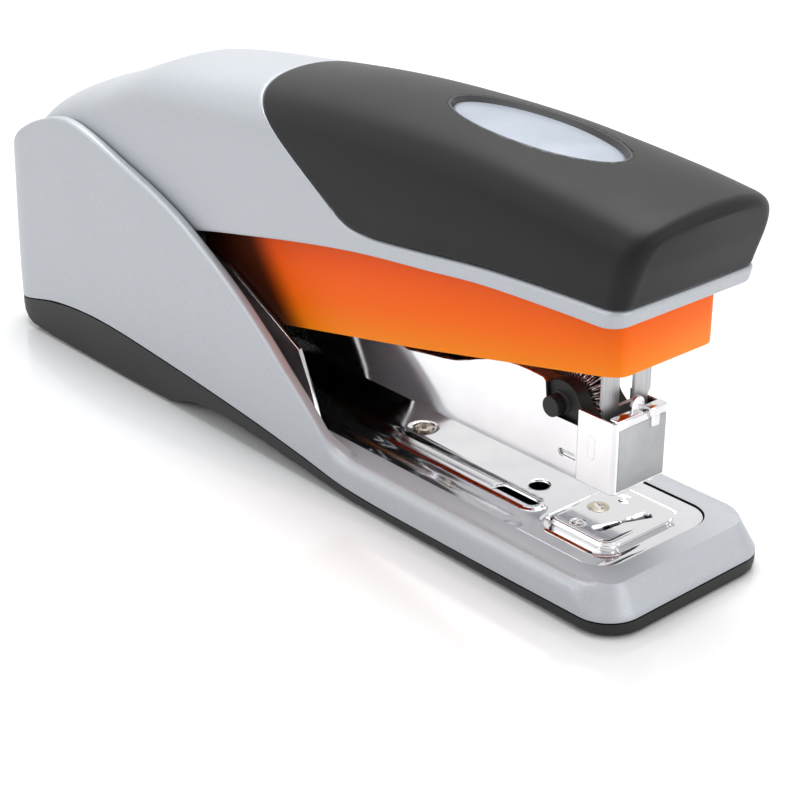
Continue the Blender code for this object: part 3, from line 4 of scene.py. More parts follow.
import bmesh
import bpy
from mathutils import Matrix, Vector


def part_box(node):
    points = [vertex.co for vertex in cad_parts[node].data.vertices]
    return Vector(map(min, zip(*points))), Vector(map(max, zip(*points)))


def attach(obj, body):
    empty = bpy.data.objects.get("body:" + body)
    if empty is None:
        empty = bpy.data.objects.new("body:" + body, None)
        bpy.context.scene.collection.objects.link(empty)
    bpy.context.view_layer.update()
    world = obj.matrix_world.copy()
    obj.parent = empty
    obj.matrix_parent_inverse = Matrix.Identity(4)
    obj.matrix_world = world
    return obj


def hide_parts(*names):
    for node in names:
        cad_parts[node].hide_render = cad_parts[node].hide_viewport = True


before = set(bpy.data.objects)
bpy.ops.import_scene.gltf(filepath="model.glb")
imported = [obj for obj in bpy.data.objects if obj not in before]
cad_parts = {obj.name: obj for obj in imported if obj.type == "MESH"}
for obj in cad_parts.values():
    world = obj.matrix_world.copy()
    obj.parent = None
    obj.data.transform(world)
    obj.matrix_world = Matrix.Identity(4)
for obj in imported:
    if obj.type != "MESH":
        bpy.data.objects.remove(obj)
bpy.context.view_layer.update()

# The sole: a black moulded tray under the whole base, matt from the mould's spark-eroded face.
# Its upper rim follows the seam with the shell, and the base screws come down into it.
MM = 0.001
SHARP_ANGLE = math.radians(34.0)
FLAT_ANGLE = math.radians(0.8)


def closed_piece(name, bm):
    """An object in the scene from a bmesh, smooth except at its edges."""
    mesh = bpy.data.meshes.new(name)
    bm.to_mesh(mesh)
    bm.free()
    mesh.shade_smooth()
    mesh.set_sharp_from_angle(angle=SHARP_ANGLE)
    piece = bpy.data.objects.new(name, mesh)
    bpy.context.scene.collection.objects.link(piece)
    return piece


def rounded(piece, width, segments=2):
    """Ease a piece's hard edges by width."""
    eased = piece.modifiers.new("eased_edges", "BEVEL")
    eased.width = width
    eased.segments = segments
    eased.limit_method = "ANGLE"
    eased.angle_limit = SHARP_ANGLE
    eased.use_clamp_overlap = True
    eased.harden_normals = True
    return piece


def merged_node(node):
    """A copy of a CAD node's mesh with its triangles joined."""
    bm = bmesh.new()
    bm.from_mesh(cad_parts[node].data)
    bmesh.ops.remove_doubles(bm, verts=bm.verts, dist=0.001 * MM)
    return bm


def whole_faces(bm):
    """Join the triangles of each flat face into one."""
    bmesh.ops.dissolve_limit(bm, angle_limit=FLAT_ANGLE, verts=bm.verts, edges=bm.edges)
    return bm


def frame_copy(node, name):
    """A merged copy of a CAD node, with its flat faces made whole."""
    return closed_piece(name, whole_faces(merged_node(node)))


def fitted(piece, finish, body, slot, *nodes):
    """Give a piece its finish, the body it moves with and the nodes it stands for."""
    piece.data.materials.clear()
    piece.data.materials.append(finish)
    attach(piece, body)
    if nodes:
        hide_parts(*nodes)
    return piece


def set_inputs(node, values):
    """Set some of a node's input sockets, named with _ for a space."""
    for socket, value in values.items():
        node.inputs[socket.replace("_", " ")].default_value = value
    return node


def node_in(tree, kind, **values):
    """A shader node with some of its input sockets set."""
    return set_inputs(tree.nodes.new(kind), values)


def group_tree(name, inputs, outputs):
    """An empty shader node group with float inputs and outputs."""
    tree = bpy.data.node_groups.new(name, "ShaderNodeTree")
    for socket, value in inputs.items():
        made = tree.interface.new_socket(socket, in_out="INPUT", socket_type="NodeSocketFloat")
        made.default_value = value
    for socket in outputs:
        tree.interface.new_socket(socket, in_out="OUTPUT", socket_type="NodeSocketFloat")
    return tree, tree.nodes.new("NodeGroupInput"), tree.nodes.new("NodeGroupOutput")


def moulded_grain_group():
    """Fine grain for bump, and a slow mottle for tone and gloss."""
    tree, given, put = group_tree("moulded_grain", {"Grain Scale": 4000.0, "Mottle Scale": 60.0},
                                  ["Height", "Mottle"])
    place = tree.nodes.new("ShaderNodeTexCoord")
    grain = node_in(tree, "ShaderNodeTexNoise", Detail=3.0, Roughness=0.6)
    mottle = node_in(tree, "ShaderNodeTexNoise", Detail=4.0, Roughness=0.55)
    tree.links.new(place.outputs["Object"], grain.inputs["Vector"])
    tree.links.new(place.outputs["Object"], mottle.inputs["Vector"])
    tree.links.new(given.outputs["Grain Scale"], grain.inputs["Scale"])
    tree.links.new(given.outputs["Mottle Scale"], mottle.inputs["Scale"])
    tree.links.new(grain.outputs["Fac"], put.inputs["Height"])
    tree.links.new(mottle.outputs["Fac"], put.inputs["Mottle"])
    return tree


MOULDED_GRAIN = moulded_grain_group()


def finish_tree(name):
    """A new material's tree and its shader."""
    finish = bpy.data.materials.new(name)
    finish.use_nodes = True
    return finish, finish.node_tree, finish.node_tree.nodes["Principled BSDF"]


def grain_in(tree, grain_scale, mottle_scale):
    """The moulded grain group, placed in a material."""
    made = tree.nodes.new("ShaderNodeGroup")
    made.node_tree = MOULDED_GRAIN
    made.inputs["Grain Scale"].default_value = grain_scale
    made.inputs["Mottle Scale"].default_value = mottle_scale
    return made


def tone(tree, mask, dark, light, socket, low=0.3, high=0.7):
    """Blend a colour from dark to light over a mask, into a colour socket."""
    ramp = tree.nodes.new("ShaderNodeValToRGB")
    ramp.color_ramp.elements[0].position = low
    ramp.color_ramp.elements[0].color = (*dark, 1.0)
    ramp.color_ramp.elements[1].position = high
    ramp.color_ramp.elements[1].color = (*light, 1.0)
    tree.links.new(mask, ramp.inputs["Fac"])
    tree.links.new(ramp.outputs["Color"], socket)
    return ramp


def spread(tree, value, start, end, low=0.0, high=1.0):
    """A node that spreads a value's run from start to end over low to high."""
    made = node_in(tree, "ShaderNodeMapRange", From_Min=start, From_Max=end, To_Min=low, To_Max=high)
    tree.links.new(value, made.inputs["Value"])
    return made


def gloss(tree, mask, low, high, socket):
    """Spread the middle of a mask over a range of roughness."""
    tree.links.new(spread(tree, mask, 0.3, 0.7, low, high).outputs["Result"], socket)


def bump(tree, height, strength, distance, shader):
    """Raise a height mask as bump on a shader."""
    raised = node_in(tree, "ShaderNodeBump", Strength=strength, Distance=distance)
    tree.links.new(height, raised.inputs["Height"])
    tree.links.new(raised.outputs["Normal"], shader.inputs["Normal"])


def grained(name, scales, dark, light, roughness, relief, tone_by="Mottle", gloss_by="Mottle", **values):
    """A finish from its grain's two scales, two colours, roughness range and relief's strength and depth."""
    finish, tree, shader = finish_tree(name)
    grain = grain_in(tree, *scales)
    tone(tree, grain.outputs[tone_by], dark, light, shader.inputs["Base Color"])
    gloss(tree, grain.outputs[gloss_by], *roughness, shader.inputs["Roughness"])
    if relief:
        bump(tree, grain.outputs["Height"], *relief, shader)
    set_inputs(shader, values)
    return finish


BLACK_MOULDING = grained("black_moulding", (3200.0, 45.0), (0.012, 0.012, 0.013), (0.021, 0.021, 0.022),
                         (0.42, 0.56), (0.35, 0.03 * MM), Specular_IOR_Level=0.3)
sole = rounded(frame_copy("base_sole", "sole_tray"), 0.3 * MM)
fitted(sole, BLACK_MOULDING, "base", "black_plastic", "base_sole")

# The four feet: discs of grey-black rubber, cut from sheet and pressed into the sole's pockets.
# Their edges are a little rounded and their faces dusty.
FOOT_RUBBER = grained("foot_rubber", (2200.0, 160.0), (0.030, 0.030, 0.031), (0.060, 0.059, 0.057),
                      (0.75, 0.92), (0.5, 0.05 * MM))
for corner in ("front_left", "front_right", "rear_left", "rear_right"):
    foot = rounded(frame_copy(f"rubber_pad_{corner}", f"foot_{corner}"), 0.35 * MM, 3)
    fitted(foot, FOOT_RUBBER, "base", "pad_rubber", f"rubber_pad_{corner}")

# The base shell: one moulding in silver paint, a flat rim at the front that sweeps up into two
# side wings and joins round the rear.  It is hollow, and the plate lies in its long opening.
BASE_HALF = 24.3 * MM
BASE_FRONT = 110.0 * MM
BASE_REAR = -110.0 * MM
RIM = 10.0 * MM
FRONT_CORNER = 8.0 * MM
REAR_CORNER = 14.0 * MM
SHELL_STEPS = 34
MOUTH_HALF = 17.2 * MM
MOUTH_FRONT = 101.1 * MM
MOUTH_REAR = -104.8 * MM
MOUTH_CORNER = 6.2 * MM
FRONT_FLAT_END = 0.03
FRONT_CORNER_END = 0.09
SIDE_END = 0.42
REAR_CORNER_END = 0.48
OUTER_FACE_END = 12
TOP_EDGE_END = 18
TOP_FACE_END = 22
INNER_FACE_END = 27
LAND_END = 30


def from_front(distance, height):
    """A point of a side outline in millimetres, measured back from the base's front."""
    return BASE_FRONT - distance * MM, height * MM


def from_rear(distance, height):
    """A point of a side outline in millimetres, measured forward from the base's rear."""
    return BASE_REAR + distance * MM, height * MM


def smooth_line(*points):
    """The height at x of a smooth line through points, held level past its ends."""
    xs = [point[0] for point in points]
    zs = [point[1] for point in points]
    last = len(points) - 1
    slopes = []
    for i in range(last + 1):
        before = max(i - 1, 0)
        after = min(i + 1, last)
        slopes.append((zs[after] - zs[before]) / (xs[after] - xs[before]))

    def height(x):
        if x <= xs[0]:
            return zs[0]
        if x >= xs[last]:
            return zs[last]
        i = max(k for k in range(last) if xs[k] <= x)
        span = xs[i + 1] - xs[i]
        t = (x - xs[i]) / span
        start = zs[i] * (1 + 2 * t) * (1 - t) ** 2 + slopes[i] * span * t * (1 - t) ** 2
        return start + zs[i + 1] * t * t * (3 - 2 * t) + slopes[i + 1] * span * t * t * (t - 1)

    return height


seam_height = smooth_line(from_rear(0, 5.5), from_rear(13, 8.0), from_rear(28, 11.2), from_rear(47, 12.4),
                          from_rear(73, 10.9), from_front(113, 7.8), from_front(93, 5.3),
                          from_front(77, 3.1), from_front(47, 2.7), from_front(0, 3.2))
heel_inset = smooth_line((6.4 * MM, 5.4 * MM), (10.5 * MM, 3.0 * MM), (17 * MM, 1.2 * MM),
                         (26 * MM, 0.0))
wing_height = smooth_line(from_rear(0, 38.0), from_rear(2.5, 43.0), from_rear(8, 50.0), from_rear(16, 55.5),
                          from_rear(24, 59.0), from_rear(34, 61.4), from_rear(44, 60.3),
                          from_rear(58, 56.4), from_front(147, 51.8), from_front(135, 46.9),
                          from_front(118, 37.8), from_front(106, 29.8), from_front(97.7, 23.3),
                          from_front(90.3, 17.6), from_front(85, 13.0), from_front(82, 11.0),
                          from_front(78, 10.0))


def ease(value, start, end):
    """0 before start, 1 after end, smooth between."""
    t = min(max((value - start) / (end - start), 0.0), 1.0)
    return t * t * (3 - 2 * t)


def blend(start, end, share):
    """The value a share of the way from start to end."""
    return start + (end - start) * share


def plan_point(turn, half, front, rear, front_radius, rear_radius):
    """A point of a rounded plan outline: turn 0 is the middle of the front, 0.5 that of the rear."""
    side = -1.0 if turn <= 0.5 else 1.0
    t = turn if turn <= 0.5 else 1.0 - turn
    if t < FRONT_FLAT_END:
        x = front
        y = (half - front_radius) * t / FRONT_FLAT_END
    elif t < FRONT_CORNER_END:
        angle = math.pi / 2 * (t - FRONT_FLAT_END) / (FRONT_CORNER_END - FRONT_FLAT_END)
        x = front - front_radius + front_radius * math.cos(angle)
        y = half - front_radius + front_radius * math.sin(angle)
    elif t < SIDE_END:
        along = (t - FRONT_CORNER_END) / (SIDE_END - FRONT_CORNER_END)
        x = blend(front - front_radius, rear + rear_radius, along)
        y = half
    elif t < REAR_CORNER_END:
        angle = math.pi / 2 * (t - SIDE_END) / (REAR_CORNER_END - SIDE_END)
        x = rear + rear_radius - rear_radius * math.sin(angle)
        y = half - rear_radius + rear_radius * math.cos(angle)
    else:
        x = rear
        y = (half - rear_radius) * (0.5 - t) / (0.5 - REAR_CORNER_END)
    return x, side * y


def shaped_grid(bm, rows, columns, place):
    """A grid of rows by columns whose points go where place(row share, column share) says."""
    made = bmesh.ops.create_grid(bm, x_segments=rows, y_segments=columns, size=1.0)
    for vert in made["verts"]:
        vert.co = place((vert.co.x + 1) / 2, (vert.co.y + 1) / 2)


def shell_section(turn, share):
    """A point of the shell's wall at turn round the plan and share round its section."""
    x, y = plan_point(turn, BASE_HALF, BASE_FRONT, BASE_REAR, FRONT_CORNER, REAR_CORNER)
    low = seam_height(x) + 0.4 * MM
    top = wing_height(x)
    behind = 1 - ease(x, -100 * MM, -96 * MM)
    top = blend(top, 30 * MM, behind * (1 - ease(abs(y), 16.2 * MM, 17.8 * MM)))
    wing = ease(top, RIM, RIM + 4 * MM)
    front = ease(x, 99 * MM, 105.5 * MM)
    edge_in = blend(blend(2.6, 3.4, front), 0.8, wing) * MM
    edge_down = blend(blend(2.6, 6.2, front), 0.9, wing) * MM
    wall = blend(3.8, 2.6, wing) * MM
    inner_edge = 0.7 * MM * wing
    lean = 1.3 * MM * wing
    step = share * SHELL_STEPS

    def leaned(z):
        return lean * ease(z, RIM, 64 * MM)

    if step <= OUTER_FACE_END:
        z = blend(low, top - edge_down, step / OUTER_FACE_END)
        inset = leaned(z)
    elif step <= TOP_EDGE_END:
        straight = (step - OUTER_FACE_END) / (TOP_EDGE_END - OUTER_FACE_END)
        angle = math.pi / 2 * straight
        z = top - edge_down + edge_down * blend(math.sin(angle), straight, front)
        inset = edge_in * blend(1 - math.cos(angle), straight, front) + leaned(top - edge_down)
    elif step <= TOP_FACE_END:
        angle = math.pi / 2 * max(step - TOP_EDGE_END - 1, 0) / (TOP_FACE_END - TOP_EDGE_END - 1)
        z = top - inner_edge * (1 - math.cos(angle))
        inset = wall - inner_edge + inner_edge * math.sin(angle) + leaned(top - edge_down)
    elif step <= INNER_FACE_END:
        down = (step - TOP_FACE_END) / (INNER_FACE_END - TOP_FACE_END)
        z = blend(top - inner_edge, RIM, down)
        inset = wall + leaned(z) * (1 - down)
    elif step <= LAND_END:
        inset = wall
        z = RIM if step < 29.5 else RIM - 1.8 * MM
    else:
        inset = blend(1.9, 4.6, front) * MM
        down = (step - LAND_END - 1) / (SHELL_STEPS - LAND_END - 1)
        z = blend(max(RIM - 2.4 * MM, low), low, down)
    inset_x, inset_y = plan_point(turn, BASE_HALF - inset, BASE_FRONT - inset, BASE_REAR + inset,
                                  FRONT_CORNER - inset, REAR_CORNER - inset)
    inset_x = max(inset_x, BASE_REAR + inset + heel_inset(z))
    if INNER_FACE_END < step <= LAND_END:
        mouth_x, mouth_y = plan_point(turn, MOUTH_HALF, MOUTH_FRONT, MOUTH_REAR, MOUTH_CORNER, MOUTH_CORNER)
        reach = min((step - INNER_FACE_END) / 2, 1.0)
        inset_x = blend(inset_x, mouth_x, reach)
        inset_y = blend(inset_y, mouth_y, reach)
    return inset_x, inset_y, z


def joined(bm, distance):
    """Merge the points of a shape that meet and turn its faces outwards."""
    bmesh.ops.remove_doubles(bm, verts=bm.verts, dist=distance)
    bmesh.ops.recalc_face_normals(bm, faces=bm.faces)


SILVER_PAINT = grained("silver_paint", (5200.0, 24.0), (0.38, 0.40, 0.43), (0.50, 0.52, 0.55),
                       (0.38, 0.46), (0.10, 0.02 * MM), tone_by="Height", Metallic=0.3)
shell_mesh = bmesh.new()
shaped_grid(shell_mesh, 400, SHELL_STEPS, shell_section)
joined(shell_mesh, 0.002 * MM)
fitted(closed_piece("shell_moulding", shell_mesh), SILVER_PAINT, "base", "silver_paint", "base_shell")

# The base plate: one pressing in chromed steel, with beads pressed in round its slot and its front
# end, and two ears bent up for the pivot pin. It lies in the shell's opening under three screws.
PLATE_TOP = 9.5 * MM
PLATE_FRONT = 100.9 * MM
PLATE_REAR = -104.0 * MM
PLATE_HALF = 17.0 * MM
PLATE_CORNER = 6.0 * MM
ANVIL_MIDDLE = 88.0 * MM
ANVIL_REACH = 8.6 * MM
ANVIL_HALF = 11.0 * MM
ANVIL_CORNER = 3.0 * MM
SLOT_X = 67.3 * MM
SLOT_Y = -6.7 * MM
SLOT_REACH = 4.35 * MM
SLOT_RADIUS = 1.4 * MM
HOLE_RADIUS = 2.3 * MM
DIMPLE_X = 30.7 * MM
FINE_FROM = 12.0 * MM
COARSE_SHARE = 0.15


def ridge(distance, width):
    """A smooth ridge across distance, 1 along its middle."""
    return math.exp(-(distance / width) ** 2)


def anvil_distance(x, y):
    """How far a point lies outside the anvil's rounded outline."""
    past_x = abs(x - ANVIL_MIDDLE) - ANVIL_REACH + ANVIL_CORNER
    past_y = abs(y) - ANVIL_HALF + ANVIL_CORNER
    return math.hypot(max(past_x, 0), max(past_y, 0)) + min(max(past_x, past_y), 0) - ANVIL_CORNER


def slot_distance(x, y):
    """How far a point is from the middle line of the slot."""
    return math.hypot(max(abs(x - SLOT_X) - SLOT_REACH, 0), y - SLOT_Y)


def round_hole_distance(x, y):
    """How far a point is from the middle of the round hole."""
    return math.hypot(x - SLOT_X, y)


def plate_relief(x, y, edge):
    """The pressing's height over its flat: rolled edge, bead round the slot, sunk and raised zones."""
    bead_line = math.hypot(max(x - SLOT_X - SLOT_REACH, 0), y - SLOT_Y)
    bead = 0.45 * ridge(bead_line - 2.7 * MM, 0.62 * MM) * ease(x, 18 * MM, 34 * MM)
    lip = 0.20 * ridge(slot_distance(x, y) - 1.5 * MM, 0.3 * MM)
    frame_line = anvil_distance(x, y)
    anvil_frame = 0.30 * ridge(frame_line - 1.5 * MM, 0.5 * MM) - 0.2 * ridge(frame_line, 0.4 * MM)
    fall = 0.45 * ease(-y, 11.5 * MM, 15.0 * MM) * (1 - ease(x, 72 * MM, 78 * MM))
    lift = 0.3 * max(ease(y, 12 * MM, 16 * MM), ease(x, 97.5 * MM, 100 * MM))
    edge_roll = 0.15 * (1 - ease(edge, 0, 0.4 * MM))
    dimple = 0.35 * (1 - ease(math.hypot(x - DIMPLE_X, y), 2.3 * MM, 3.6 * MM))
    return (bead + lip + lift + anvil_frame - fall - edge_roll - dimple) * MM


def plate_point(run, across):
    """The plate's upper face, finer towards the front."""
    if run < COARSE_SHARE:
        x = blend(PLATE_REAR, FINE_FROM, run / COARSE_SHARE)
    else:
        x = blend(FINE_FROM, PLATE_FRONT, (run - COARSE_SHARE) / (1 - COARSE_SHARE))
    past = max(x - PLATE_FRONT + PLATE_CORNER, 0.0)
    half = PLATE_HALF - PLATE_CORNER + math.sqrt(PLATE_CORNER ** 2 - min(past, PLATE_CORNER) ** 2)
    y = half * (2 * across - 1)
    return x, y, PLATE_TOP + plate_relief(x, y, min(half - abs(y), PLATE_FRONT - x))


def pierce(bm, distance, radius):
    """Open a sheet where distance is under radius, and draw the opening's edge to a clean line."""
    gone = [vert for vert in bm.verts if distance(vert.co.x, vert.co.y) < radius]
    bmesh.ops.delete(bm, geom=gone, context="VERTS")
    step = 0.01 * MM
    for vert in bm.verts:
        x, y, _ = vert.co
        out = distance(x, y) - radius
        if vert.is_boundary and out < 1.0 * MM:
            vert.co.x -= out * (distance(x + step, y) - distance(x - step, y)) / (2 * step)
            vert.co.y -= out * (distance(x, y + step) - distance(x, y - step)) / (2 * step)


def walled(piece, thickness):
    """Give a sheet its wall on the inside."""
    wall = piece.modifiers.new("wall", "SOLIDIFY")
    wall.thickness = thickness
    wall.offset = -1.0
    return piece


CHROME = grained("chrome", (900.0, 70.0), (0.70, 0.70, 0.72), (0.80, 0.80, 0.81), (0.06, 0.14),
                 (0.04, 0.02 * MM), Metallic=1.0)
plate_mesh = bmesh.new()
shaped_grid(plate_mesh, 300, 90, plate_point)
pierce(plate_mesh, slot_distance, SLOT_RADIUS)
pierce(plate_mesh, round_hole_distance, HOLE_RADIUS)
plate = walled(closed_piece("plate_pressing", plate_mesh), 1.0 * MM)
fitted(plate, CHROME, "base", "chrome_plate", "base_plate")
ear_mesh = merged_node("base_plate")
bmesh.ops.bisect_plane(ear_mesh, geom=ear_mesh.verts[:] + ear_mesh.edges[:] + ear_mesh.faces[:],
                       plane_co=(0, 0, 9.0 * MM), plane_no=(0, 0, 1), clear_inner=True)
flat_part = [face for face in ear_mesh.faces if max(vert.co.z for vert in face.verts) < 9.6 * MM]
bmesh.ops.delete(ear_mesh, geom=flat_part, context="FACES")
bmesh.ops.holes_fill(ear_mesh, edges=ear_mesh.edges, sides=0)
fitted(rounded(closed_piece("plate_ears", ear_mesh), 0.2 * MM), CHROME, "base", "chrome_plate")

# The anvil: a chromed steel plate with a bow-shaped groove that curls a staple's legs.
# A screw and two rivets hold it at the plate's front.
ANVIL_TOP = 11.2 * MM
GROOVE_X = 91.8 * MM
GROOVE_Y = -1.0 * MM
GROOVE_SLANT = 0.24
GROOVE_REACH = 5.6
GROOVE_DEPTH = 1.5
RIM_WIDTH = 1.2 * MM


def groove_depth(x, y):
    """Depth of the bow-shaped groove in millimetres: narrow in the middle, wide towards both ends."""
    along = abs(y - GROOVE_Y) / MM
    across = abs(x - GROOVE_X - GROOVE_SLANT * y) / MM
    half = 0.42 + min(along / GROOVE_REACH, 1.0) ** 0.9
    half *= math.sqrt(max(1 - max(along - GROOVE_REACH, 0) ** 2, 0.0))
    return GROOVE_DEPTH * max(1 - (across / half) ** 2, 0.0) if half > 0.05 else 0.0


def rivet_mark(x, y, rivet_x, rivet_y):
    """A flush rivet: a low head in a fine ring, with a dot in its middle."""
    away = math.hypot(x - rivet_x, y - rivet_y)
    head = 0.10 * (1 - ease(away, 1.0 * MM, 1.3 * MM))
    ring = 0.15 * ridge(away - 1.45 * MM, 0.18 * MM)
    return head - ring - 0.2 * ridge(away, 0.35 * MM)


def anvil_point(run, across):
    """The anvil's upper face, with an eased rim."""
    x = ANVIL_MIDDLE + ANVIL_REACH * (2 * run - 1)
    past = max(abs(x - ANVIL_MIDDLE) - ANVIL_REACH + ANVIL_CORNER, 0.0)
    half = ANVIL_HALF - ANVIL_CORNER + math.sqrt(max(ANVIL_CORNER ** 2 - past ** 2, 0.0))
    y = half * (2 * across - 1)
    edge = -anvil_distance(x, y)
    rim = 0.55 * (1 - ease(edge, 0, 0.8 * MM)) + 0.07 * ridge(edge - 1.3 * MM, 0.25 * MM)
    marks = rivet_mark(x, y, 85.8 * MM, -7.7 * MM) + rivet_mark(x, y, 85.4 * MM, 6.4 * MM)
    return x, y, ANVIL_TOP + (marks - groove_depth(x, y) - rim) * MM


def position_in(tree):
    """A node with the three parts of a point's place on the object."""
    place = tree.nodes.new("ShaderNodeTexCoord")
    parts = tree.nodes.new("ShaderNodeSeparateXYZ")
    tree.links.new(place.outputs["Object"], parts.inputs["Vector"])
    return parts.outputs


def math_in(tree, operation, *terms):
    """A math node's result from its terms, each a number or another node's output."""
    made = tree.nodes.new("ShaderNodeMath")
    made.operation = operation
    for socket, term in zip(made.inputs, terms):
        if isinstance(term, float):
            socket.default_value = term
        else:
            tree.links.new(term, socket)
    return made.outputs["Value"]


def anvil_chrome_painted_groove_shade():
    """Chrome with painted shade down in the groove: its colour goes dark there."""
    finish, tree, shader = finish_tree("anvil_chrome_painted_groove_shade")
    marks = grain_in(tree, 900.0, 70.0)
    place = position_in(tree)
    depth = spread(tree, place["Z"], ANVIL_TOP - 0.3 * MM, ANVIL_TOP - 0.8 * MM)
    along = math_in(tree, "COMPARE", place["X"], ANVIL_MIDDLE, ANVIL_REACH - RIM_WIDTH)
    across = math_in(tree, "COMPARE", place["Y"], 0.0, ANVIL_HALF - RIM_WIDTH)
    inside = math_in(tree, "MULTIPLY", along, across)
    mask = math_in(tree, "MULTIPLY", depth.outputs["Result"], inside)
    # Painted shade: the groove's colour goes near-black, standing for the shadow down in it.
    tone(tree, mask, (0.76, 0.76, 0.77), (0.05, 0.05, 0.055), shader.inputs["Base Color"], 0.0, 1.0)
    gloss(tree, marks.outputs["Mottle"], 0.06, 0.14, shader.inputs["Roughness"])
    bump(tree, marks.outputs["Height"], 0.04, 0.02 * MM, shader)
    shader.inputs["Metallic"].default_value = 1.0
    return finish


anvil_mesh = bmesh.new()
shaped_grid(anvil_mesh, 120, 150, anvil_point)
anvil = walled(closed_piece("anvil_plate", anvil_mesh), 1.7 * MM)
fitted(anvil, anvil_chrome_painted_groove_shade(), "base", "chrome_plate", "anvil")

# The three base screws: steel, with low heads and a cross recess.
# They go down through the plate into the sole's bosses.


SHANK_RADIUS = 1.4 * MM
HEAD_RADIUS = 2.3 * MM
HEAD_RISE = 0.6 * MM
CROSS_HALF = 0.42 * MM
CROSS_REACH = 1.35 * MM
CROSS_TURN = 0.4


def steel(name, dark, light, roughness):
    """Plain steel with fine marks that vary its gloss."""
    return grained(name, (2600.0, 300.0), dark, light, roughness, (0.05, 0.02 * MM), gloss_by="Height",
                   Metallic=1.0)


def cross_screw(name, x, top, tip):
    """A screw with a low domed head and a cross recess, standing at x."""
    under_head = top - HEAD_RISE

    def place(turn, section):
        angle = math.tau * turn
        step = section * 10
        if step <= 1:
            radius = SHANK_RADIUS * step
            z = tip
        elif step <= 2:
            radius = SHANK_RADIUS
            z = blend(tip, under_head, step - 1)
        elif step <= 3:
            radius = blend(SHANK_RADIUS, HEAD_RADIUS, step - 2)
            z = blend(under_head, top - 0.1 * MM, step - 2)
        else:
            out = (10 - step) / 7
            radius = HEAD_RADIUS * out
            u = abs(radius * math.cos(angle + CROSS_TURN))
            v = abs(radius * math.sin(angle + CROSS_TURN))
            first_arm = max(u / CROSS_HALF, v / CROSS_REACH)
            arm = min(first_arm, max(u / CROSS_REACH, v / CROSS_HALF))
            z = top + 0.18 * MM * (1 - out ** 2) - 0.9 * MM * (1 - ease(arm, 0.75, 1.1))
        return x + radius * math.cos(angle), radius * math.sin(angle), z

    bm = bmesh.new()
    shaped_grid(bm, 72, 60, place)
    joined(bm, 0.002 * MM)
    return closed_piece(name, bm)


BRIGHT_STEEL = steel("bright_steel", (0.52, 0.52, 0.53), (0.66, 0.66, 0.67), (0.18, 0.32))
SCREW_STEEL = steel("screw_steel", (0.50, 0.44, 0.36), (0.66, 0.60, 0.50), (0.22, 0.34))
for screw, screw_x, screw_top in (("plate_screw_front", 30.7, 9.75), ("plate_screw_rear", -66.0, 9.75),
                                  ("anvil_screw", 84.1, 11.25)):
    head = cross_screw(f"{screw}_head", screw_x * MM, screw_top * MM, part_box(screw)[0][2])
    fitted(head, SCREW_STEEL, "base", "spring_steel", screw)

# The pivot: a headed steel pin through both ears, kept by a clip, with two spacer tubes.
# All are turned from bar.
for turned_part in ("pivot_pin", "pivot_clip", "pivot_spacer_left", "pivot_spacer_right"):
    piece = rounded(frame_copy(turned_part, f"{turned_part}_turned"), 0.2 * MM)
    fitted(piece, BRIGHT_STEEL, "base", "spring_steel", turned_part)

# The leaf spring: a strip of bright spring steel that lifts the magazine off the plate.
# One rivet holds its rear end.
for strip_part in ("magazine_leaf_spring", "leaf_spring_rivet"):
    piece = rounded(frame_copy(strip_part, f"{strip_part}_strip"), 0.1 * MM)
    fitted(piece, BRIGHT_STEEL, "base", "spring_steel", strip_part)

# The magazine channel: a chromed steel trough for the staples, folded from sheet.
# Its walls run back as arms to the pivot pin, and each has a round-ended window behind the nose.
WINDOW_ENDS = (78.9 * MM, 83.7 * MM)
WINDOW_LEVELS = (23.6 * MM, 25.4 * MM)


def at_window_corner(vert):
    """Whether a point lies on a corner of the channel's windows."""
    off_x = min(abs(vert.co.x - end) for end in WINDOW_ENDS)
    off_z = min(abs(vert.co.z - level) for level in WINDOW_LEVELS)
    return max(off_x, off_z) < 0.05 * MM


def through_the_wall(edge):
    """Whether an edge runs across the channel's wall."""
    return abs(edge.verts[0].co.y - edge.verts[1].co.y) > 0.9 * edge.calc_length()


channel_mesh = whole_faces(merged_node("magazine_channel"))
window_corners = [edge for edge in channel_mesh.edges
                  if all(at_window_corner(vert) for vert in edge.verts) and through_the_wall(edge)]
bmesh.ops.bevel(channel_mesh, geom=window_corners, offset=0.85 * MM, offset_type="OFFSET", affect="EDGES",
                segments=6, profile=0.5, material=-1)
channel = rounded(closed_piece("channel_folding", channel_mesh), 0.15 * MM)
fitted(channel, CHROME, "magazine", "chrome_plate", "magazine_channel")

# The staple track: a folded steel rail inside the channel, which the staples straddle.
# It is fixed to the channel's floor.
track = rounded(frame_copy("staple_track", "track_rail"), 0.15 * MM)
fitted(track, BRIGHT_STEEL, "magazine", "spring_steel", "staple_track")

# The nose: a chromed steel sleeve round the channel's end with a satin front panel, the tongue that
# guides the driver, and a strap that hooks over the front edge.
nose = rounded(frame_copy("nose_cover", "nose_sleeve"), 0.35 * MM, 3)
fitted(nose, CHROME, "magazine", "chrome_plate", "nose_cover")
tongue = rounded(frame_copy("nose_tongue", "nose_hook"), 0.2 * MM, 3)
fitted(tongue, CHROME, "magazine", "chrome_plate", "nose_tongue")


def eased_block(bm, low, high, width, segments=3):
    """A block from corner low to corner high, in millimetres, with all its edges eased by width."""
    block = bmesh.ops.create_cube(bm, size=1.0)
    for vert in block["verts"]:
        for axis in range(3):
            vert.co[axis] = blend(low[axis], high[axis], vert.co[axis] + 0.5) * MM
    edges = list({edge for vert in block["verts"] for edge in vert.link_edges})
    bmesh.ops.bevel(bm, geom=edges, offset=width * MM, offset_type="OFFSET", affect="EDGES",
                    segments=segments, profile=0.5, material=-1)


